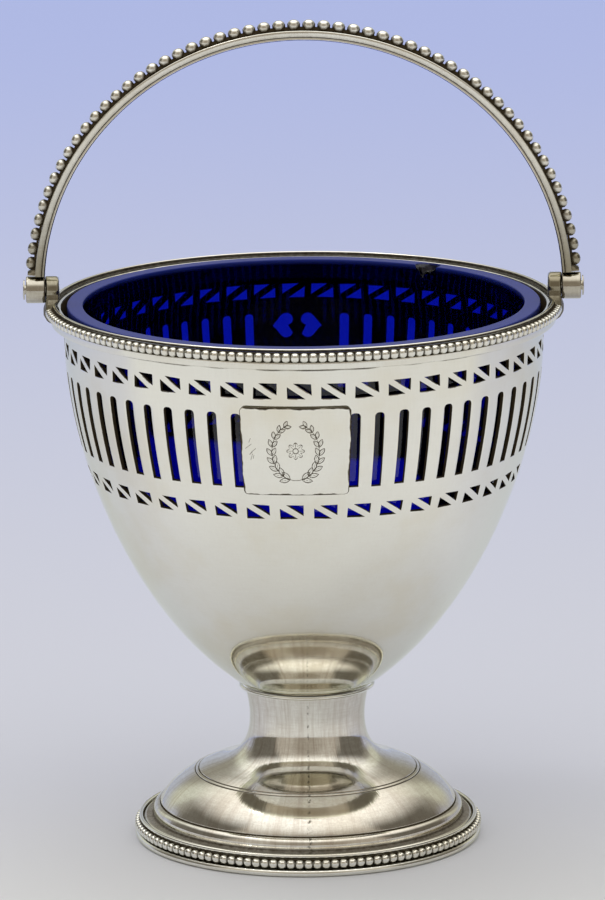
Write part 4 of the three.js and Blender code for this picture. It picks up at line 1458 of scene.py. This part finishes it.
def lug_skin(s, sign):
    """A lug as level sections from its crown to its root, bent round Z with the rim.

    Each section is a rounded oblong: cosine and sine raised to a power. Its half length
    follows the head's circle, stays even down the column and then fans out along the rim. Its
    inner face steps outwards on to the wires, and its outer face swells to cover the beads.
    """
    head = s.pivot + s.barrel_radius * np.cos(np.linspace(0, math.pi / 2, HEAD_ROWS))
    levels = np.r_[head, np.linspace(s.pivot, s.root_base, COLUMN_ROWS)[1:]]
    rise = (levels - s.root_base) / MM
    circle = np.sqrt(np.clip(s.barrel_radius**2 - (levels - s.pivot) ** 2, 0, None))
    half = np.where(levels >= s.pivot, circle, from_table(LUG_FAN, rise) * MM)
    left = LUG_CROWN - np.clip(s.pivot + s.barrel_radius - levels, 0, LUG_CROWN)
    inner = s.lug_inner + LUG_CROWN - np.sqrt(np.clip(LUG_CROWN**2 - left**2, 0, None))
    inner = np.maximum(inner, from_table(LUG_INNER, rise) * MM)
    outer = from_table(LUG_OUTER, rise) * MM
    a, power = even_turns(LUG_SIDES)[None, :], from_table(LUG_POWER, rise)[:, None]
    out, beside = (np.sign(c) * np.abs(c) ** power for c in (np.cos(a), np.sin(a)))
    radius = (inner + outer)[:, None] / 2 + (outer - inner)[:, None] / 2 * out
    bend = half[:, None] * beside / s.lug_outer
    parts = (sign * radius * np.cos(bend), radius * np.sin(bend), levels[:, None])
    points = np.stack(np.broadcast_arrays(*parts), -1)
    skin = Skin().grid(points, from_table(LUG_SHADE, rise)[:, None], close_columns=True)
    return skin.cap(points[-1], 0.6, flip=True)


class BASKET_OT_hinges(bpy.types.Operator):
    """Build both hinges: lug, pin and barrel"""

    bl_idname = "basket.hinges"
    bl_label = "Hinges"

    def execute(self, context):
        s = context.scene.basket_hinge
        for sign, name in ((-1, "left"), (1, "right")):
            lug, pin, barrel = lug_skin(s, sign), pin_skin(s, sign), barrel_skin(s, sign)
            make_piece(f"hinge_lug_{name}", lug, "silver_bail", f"lug_{name}", crease=50)
            make_piece(f"headed_pin_{name}", pin, "silver_barrel", f"hinge_pin_{name}", crease=40)
            make_piece(f"barrel_{name}", barrel, "silver_barrel", f"bail_barrel_{name}", "bail",
                       crease=40)
        return {"FINISHED"}


# Bail

ARCH_STEPS, BAIL_ROWS = 2001, 241


class Arch:
    """The bail's path: half an ellipse on the pivots, by length from one end to the other."""

    def __init__(self, s, pivot):
        self.a, self.b, self.pivot = s.half_span, s.rise, pivot
        self.t = np.linspace(0, math.pi, ARCH_STEPS)
        self.run = run_along(np.stack(self.place(self.t, s.thickness), -1))

    def normal(self, t):
        """Outward direction of the ellipse at its angle, as X and Z."""
        nx, nz = -np.cos(t) / self.a, np.sin(t) / self.b
        size = np.hypot(nx, nz)
        return nx / size, nz / size

    def place(self, t, lift):
        """X and Z of a point that stands off the ellipse by the lift along its normal."""
        nx, nz = self.normal(t)
        return -self.a * np.cos(t) + nx * lift, self.pivot + self.b * np.sin(t) + nz * lift

    def between(self, margin, count):
        """Angles at even lengths of the strap's outside, all but the margin at both ends."""
        lengths = np.linspace(margin, self.run[-1] - margin, count)
        return lengths, np.interp(lengths, self.run, self.t)

    def point(self, t, lift, across):
        """A point of the bail by angle, lift and distance across."""
        x, z = self.place(t, lift)
        return np.stack(np.broadcast_arrays(x, across, z), -1)


STRAP_ROUNDING = 0.2 * MM
REED_INSET, GROOVE_INSET = 0.1 * MM, 0.04 * MM
GROOVE_SHADE_WIDTH = 0.16 * MM


def strap_section(s):
    """The strap's section as lift and distance across: a reed, a groove and a flat band."""
    half, reed, groove, top, soft = s.width / 2, s.reed, s.groove, s.thickness, STRAP_ROUNDING
    r = reed / 2
    return chain(
        [(0, 0)], arc((r, half - r - REED_INSET), r, 180, 45, 5),
        [(reed + groove / 2, half - groove), (reed + groove, half - GROOVE_INSET)],
        arc((top - soft, half - soft), soft, 90, 0, 3), [(top, 0)],
    )


def strap_skin(s, arch):
    """The section, mirrored across, carried along the arch between its two ends."""
    half = strap_section(s)
    section = np.concatenate([half, half[-2:0:-1] * np.array([1, -1])])
    _, t = arch.between(s.start, BAIL_ROWS)
    points = arch.point(t[:, None], section[None, :, 0], section[None, :, 1])
    # Painted shade in the groove beside the reed, and a little on the ends
    in_groove = bell(section[:, 0], s.reed + s.groove / 2, GROOVE_SHADE_WIDTH)
    in_groove *= np.abs(section[:, 1]) > s.width / 4
    skin = Skin().grid(points, in_groove * 0.85, close_columns=True)
    return skin.cap(points[0], 0.3).cap(points[-1], 0.3, flip=True)


class BASKET_OT_strap(bpy.types.Operator):
    """Build the bail's reeded strap"""

    bl_idname = "basket.strap"
    bl_label = "Bail strap"

    def execute(self, context):
        s = context.scene.basket_bail
        skin = strap_skin(s, Arch(s, context.scene.basket_hinge.pivot))
        make_piece("reeded_strap", skin, "silver_bail", "bail_strap", "bail", crease=35)
        return {"FINISHED"}


# Where the wire under the beads comes out as a plain stub, measured from the first bead
STUB_GAP, STUB_SLOPE = 1.1 * MM, 0.6 * MM
CORE_LIFT = 0.02 * MM
# A bead's middle and half height as shares of its rise, and its half length of their distance
MIDDLE_SHARE, HEIGHT_SHARE, LENGTH_SHARE = 0.42, 0.58, 0.45


def bail_bead_skin(s, arch):
    """Beads along the arch over a flat wire, dark with painted shade under the beads, which stands
    alone at both ends.

    The wire's section is an oblong that narrows upwards. It is wider and higher by the stub
    value, which is 1 at the ends and 0 under the beads.
    """
    lengths, t = arch.between(s.bead_start, s.bead_count)
    (nx, nz), flat = arch.normal(t), np.zeros(len(t))
    out, along = np.stack([nx, flat, nz], -1), np.stack([nz, flat, -nx], -1)
    centres = arch.point(t, s.thickness + s.bead_rise * MIDDLE_SHARE, 0.0)
    pitch = lengths[1] - lengths[0]
    sizes = (s.bead_rise * HEIGHT_SHARE, pitch * LENGTH_SHARE, s.bead / 2)
    skin = Skin()
    bead_row(skin, centres, out, along, (0, 1, 0), sizes, under=0.0, square=0.95)
    ends, t = arch.between(s.start, BAIL_ROWS)
    from_end = np.minimum(ends, ends[::-1])
    stub = np.clip((s.bead_start - STUB_GAP - from_end) / STUB_SLOPE, 0, 1)[:, None]
    half = s.bead * (0.3 + 0.2 * stub)
    low, high = s.thickness + CORE_LIFT, s.thickness + s.bead_rise * (0.25 + 0.5 * stub)
    lifts = low + (high - low) * np.array([0, 1, 1, 0])
    points = arch.point(t[:, None], lifts, half * np.array([1, 0.8, -0.8, -1]))
    # Painted shade on the wire under the beads; the stubs at the ends stay bright
    skin.grid(points, 1 - stub, flip=True, close_columns=True)
    return skin.cap(points[0], 0.3, flip=True).cap(points[-1], 0.3)


class BASKET_OT_bail_beads(bpy.types.Operator):
    """Build the beaded wire along the bail"""

    bl_idname = "basket.bail_beads"
    bl_label = "Bail beads"

    def execute(self, context):
        s = context.scene.basket_bail
        skin = bail_bead_skin(s, Arch(s, context.scene.basket_hinge.pivot))
        make_piece("bail_beads", skin, "silver_bail", "bail_bead_wire", "bail", crease=60)
        return {"FINISHED"}


# Liner

LINER_ROWS, LINER_SEGMENTS, CHIP_SEGMENTS = 70, 200, 61
# The lowest rows of the wall's profile, and where they begin over the underside
LOWEST_ROW, HEEL_RISE, FLOOR_RISE = 41.2 * MM, 1.2 * MM, 3.6 * MM
LEAST_TURN = 0.0004
# Handles of the heel's curve: in from the wall along the base, and in from and up the wall
HEEL_FLAT, HEEL_LEAN, HEEL_LIFT = 1.4 * MM, 0.6 * MM, 0.4 * MM
RIM_INSIDE_DROP = 1.2 * MM
# The painted light low inside, a matt bright blue patch: distance from the middle and height of its
# edge, in millimetres
LIT_PATCH_EDGE = ((-41, 58), (-37.5, 72), (-35, 81.5), (-28, 79.5), (-20, 77.5), (-8, 76), (0, 75),
             (8, 72.8), (22, 74), (26, 69), (31, 60), (40, 52))
LIT_PATCH_SOFTNESS = 0.9
# Points of the profile from the rim's first high point to its inside
RIM_POINTS = 20
# The chip's middle inside the rim, its reach inwards and outwards, and how far down it goes
CHIP_MIDDLE, CHIP_REACH, CHIP_BOTTOM = 0.8 * MM, 1.7 * MM, 2 * MM


def liner_profile(s, bowl):
    """The liner from the axis below round to the axis inside, as radius and height.

    Its outside follows the bowl's inside, then come the ground rim and the inside.
    """
    wall, gap = Wall(bowl), bowl.wall + s.clearance
    levels = np.linspace(LOWEST_ROW, bowl.neck_height, LINER_ROWS)
    outside, inside = wall.profile(levels, gap), wall.profile(levels, gap + s.wall)
    outside = outside[outside[:, 1] > s.base_height + HEEL_RISE]
    inside = inside[inside[:, 1] > s.base_height + FLOOR_RISE]
    (low, _), base = outside[0], s.base_height
    heel = bezier([(low - s.heel, base), (low - HEEL_FLAT, base),
                   (low - HEEL_LEAN, base + HEEL_LIFT), outside[0]], 8)
    (reach, bottom), rise = inside[0], s.floor_rise * 0.2
    floor = bezier([(0, bottom + rise), (reach * 0.6, bottom + rise),
                    (reach * 0.85, bottom + rise), inside[2]], 12)
    top, radius, p = s.rim_height, s.rim_radius, s.polish
    inner = radius - s.rim_width
    rim = chain(
        [(radius, top - s.rim_depth)], arc((radius - p, top - p), p, 0, 90, 4),
        np.linspace((radius - p, top), (inner + p, top), 14),
        arc((inner + p, top - p), p, 90, 180, 4), [(inner, top - RIM_INSIDE_DROP)],
    )
    return chain([(0, base)], heel, outside[1:], rim, inside[:2:-1], floor[::-1])


def liner_turns(s):
    """Even turns, and finer ones that crowd towards the chip by a cube. Slivers are left out."""
    away = np.linspace(-1, 1, CHIP_SEGMENTS)
    fine = s.chip_turn + (away**3 + away) * 1.5 * s.chip_width / s.rim_radius
    turns = np.sort(np.r_[even_turns(LINER_SEGMENTS), fine])
    return turns[np.diff(turns, append=TURN) > LEAST_TURN]


def liner_skin(s, bowl):
    """The liner's profile carried round Z, chipped, ground at its rim, with painted light low
    inside.

    The chip presses the rim down by a bell over turn and radius, broken up by ripples. The
    matt, bright blue patch of painted light lies inside, below an edge whose height changes
    from left to right.
    """
    profile, turns, top = liner_profile(s, bowl), liner_turns(s)[:, None], s.rim_height
    radii, heights = profile[None, :, 0], profile[None, :, 1]
    points = around(radii, turns, heights)
    x = (turns - s.chip_turn) * s.rim_radius / s.chip_width
    y = (radii - s.rim_radius + s.rim_width - CHIP_MIDDLE) / CHIP_REACH
    near = np.clip(1 - x**2 - 0.7 * y**2, 0, 1) * (heights > top - CHIP_BOTTOM)
    ripple = 1 + 0.4 * np.sin(9 * np.hypot(x + 0.4, y))
    points[..., 2] -= near**0.7 * s.chip_depth * ripple
    ground = (heights > top - s.polish * 1.2) & (near < 0.02)
    edge = from_table(LIT_PATCH_EDGE, points[..., 0] / MM)
    inner = np.arange(len(profile)) > np.argmax(profile[:, 1]) + RIM_POINTS
    # The matt, bright blue patch of painted light, below the edge where the inside looks lit
    worn = np.clip((edge - points[..., 2] / MM) / LIT_PATCH_SOFTNESS, 0, 1) * inner
    return Skin().grid(points, np.maximum(ground, worn), close_rows=True)


class BASKET_OT_liner(bpy.types.Operator):
    """Build the blue glass liner"""

    bl_idname = "basket.liner"
    bl_label = "Glass liner"

    def execute(self, context):
        skin = liner_skin(context.scene.basket_liner, context.scene.basket_bowl)
        make_piece("blue_liner", skin, "blown_glass", "glass_liner", "liner", 30)
        return {"FINISHED"}


# Stage

def floor_material(s):
    """A pale floor whose colour changes slowly from the front to far behind the basket. It is
    lighter in front, painted light that offsets the basket's shadow there.
    """
    shader = Shader(bpy.data.materials.new("pale_floor"))
    depth = shader.parts(shader.here())[1]
    close = shader.mix(depth.smooth(-0.1, 0.06), rgba(s.front), rgba(s.near))
    tone = shader.mix(depth.smooth(-0.05, s.far_distance), close, rgba(s.far))
    return shader.finish(shader.principled(Base_Color=tone, Roughness=0.9, Specular_IOR_Level=0.0))


def toward(shader, where, turn, elevation, near, far):
    """1 within an angle of near degrees of a direction, falling to 0 at far degrees."""
    t, e, near, far = np.radians([turn, elevation, near, far])
    aim = (math.cos(e) * math.sin(t), -math.cos(e) * math.cos(t), math.sin(e))
    dot = {"operation": "DOT_PRODUCT"}
    cosine = shader.node("ShaderNodeVectorMath", dot, {0: where, 1: aim}, output=1)
    return cosine.smooth(math.cos(far), math.cos(near))


def studio_world(scene, look):
    """Soft studio light by direction: a broad bright patch overhead, a paler wall behind that
    turns lilac near the floor, dim sides, two pale panels between, and a dim spot in front.

    Limits are in degrees: of the turn to either side from the front, and of the elevation.
    """
    scene.world = bpy.data.worlds.new("studio")
    shader = Shader(scene.world)
    where = shader.node("ShaderNodeTexCoord")
    x, y, z = shader.parts(where)
    side_turn = x.math("ABSOLUTE", shader.turn_of(x, y)) * (180 / math.pi)
    level = z.math("ARCSINE", z) * (180 / math.pi)
    wall = shader.mix(level.smooth(6, 22), rgba(look.wall_low), rgba(look.wall_high))
    room = shader.mix(level.smooth(34, 58), rgba(look.room_low), rgba(look.room_high))
    sky = shader.mix(side_turn.smooth(112, 124), room, wall)
    panels = side_turn.within(136, 154, 6) * level.within(8, 50, 10)
    for where_seen, tone in (
        (toward(shader, where, turn=0, elevation=14, near=14, far=36), look.spot),
        (side_turn.within(62, 124, 8) * level.smooth(74, 50), look.aside),
        (panels, look.panel),
        (toward(shader, where, turn=180, elevation=82, near=20, far=56), look.overhead),
    ):
        sky = shader.mix(where_seen, sky, rgba(tone))
    surface = shader.node("ShaderNodeBackground", None, {"Color": sky, "Strength": 1.0})
    shader.finish(surface, kind="ShaderNodeOutputWorld")


def area_lamp(name, place, aim, size, power, tint):
    """A soft round lamp that faces its aim."""
    lamp = bpy.data.lights.new(name, "AREA")
    lamp.shape, lamp.size, lamp.energy, lamp.color = "DISK", size, power, tint
    holder = bpy.data.objects.new(name, lamp)
    bpy.context.scene.collection.objects.link(holder)
    holder.matrix_world = facing(Vector(place), Vector(aim) - Vector(place))


def facing(place, direction):
    """The place and turn of a lamp or camera that looks along a direction, with Y up."""
    turn = direction.to_track_quat("-Z", "Y").to_matrix().to_4x4()
    return Matrix.Translation(place) @ turn


SENSOR_WIDTH = 36
NEAR_CLIP, FAR_CLIP = 0.05, 30


def place_camera(scene, s):
    """The camera looks at its aim from the front, at its elevation, rolled a little."""
    camera = bpy.data.objects.new("camera", bpy.data.cameras.new("camera"))
    scene.collection.objects.link(camera)
    back = Vector((0, -math.cos(s.elevation), math.sin(s.elevation)))
    aim = Vector((s.aim_side, 0, s.aim_height))
    camera.matrix_world = facing(aim + back * s.distance, -back) @ Matrix.Rotation(s.roll, 4, "Z")
    camera.data.lens, camera.data.sensor_width = s.lens, SENSOR_WIDTH
    camera.data.clip_start, camera.data.clip_end = NEAR_CLIP, FAR_CLIP
    scene.camera = camera


class BASKET_OT_stage(bpy.types.Operator):
    """Set up the floor, the light and the camera"""

    bl_idname = "basket.stage"
    bl_label = "Stage"

    def execute(self, context):
        scene, s = context.scene, context.scene.basket_stage
        mesh, w = bpy.data.meshes.new("floor"), s.floor_size
        mesh.from_pydata([(-w, -w, 0), (w, -w, 0), (w, w, 0), (-w, w, 0)], [], [(0, 1, 2, 3)])
        mesh.materials.append(floor_material(s))
        floor = bpy.data.objects.new("floor", mesh)
        scene.collection.objects.link(floor)
        studio_world(scene, scene.basket_light)
        area_lamp("top", place=(-0.5, 0.1, 1.5), aim=(0, 0, 0.08), size=0.35, power=1.2,
                  tint=(1, 0.98, 0.94))
        place_camera(scene, s)
        scene.view_settings.view_transform = "Standard"
        return {"FINISHED"}


GROUPS = {
    "basket_bowl": BowlSizes, "basket_piercing": PiercingSizes, "basket_plate": PlateSizes,
    "basket_foot": FootSizes, "basket_rim": RimSizes, "basket_hinge": HingeSizes,
    "basket_bail": BailSizes, "basket_liner": LinerSizes, "basket_silver": SilverLook,
    "basket_glass": GlassLook, "basket_light": StudioLight, "basket_stage": StageSettings,
}
OPERATORS = (
    BASKET_OT_stage, BASKET_OT_foot, BASKET_OT_foot_wires, BASKET_OT_bowl, BASKET_OT_plate,
    BASKET_OT_rim_wires, BASKET_OT_hinges, BASKET_OT_strap, BASKET_OT_bail_beads, BASKET_OT_liner,
)


class BASKET_PT_panel(bpy.types.Panel):
    """Lists the steps that build the basket"""

    bl_idname = "BASKET_PT_panel"
    bl_label = "Sugar basket"
    bl_space_type = "VIEW_3D"
    bl_region_type = "UI"
    bl_category = "Basket"

    def draw(self, context):
        for operator in OPERATORS:
            self.layout.operator(operator.bl_idname)


def register():
    """Registers every class, and puts the sizes and looks on the scene."""
    for group in (*GROUPS.values(), *OPERATORS, BASKET_PT_panel):
        bpy.utils.register_class(group)
    for name, group in GROUPS.items():
        setattr(bpy.types.Scene, name, PointerProperty(type=group))


def unregister():
    """Takes them away again in the opposite order."""
    for name in GROUPS:
        delattr(bpy.types.Scene, name)
    for group in (BASKET_PT_panel, *reversed(OPERATORS), *reversed(GROUPS.values())):
        bpy.utils.unregister_class(group)


def main():
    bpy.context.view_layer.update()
    register()
    for step in OPERATORS:
        name = step.bl_idname.split(".")[1]
        getattr(bpy.ops.basket, name)()


if __name__ == "__main__":
    main()
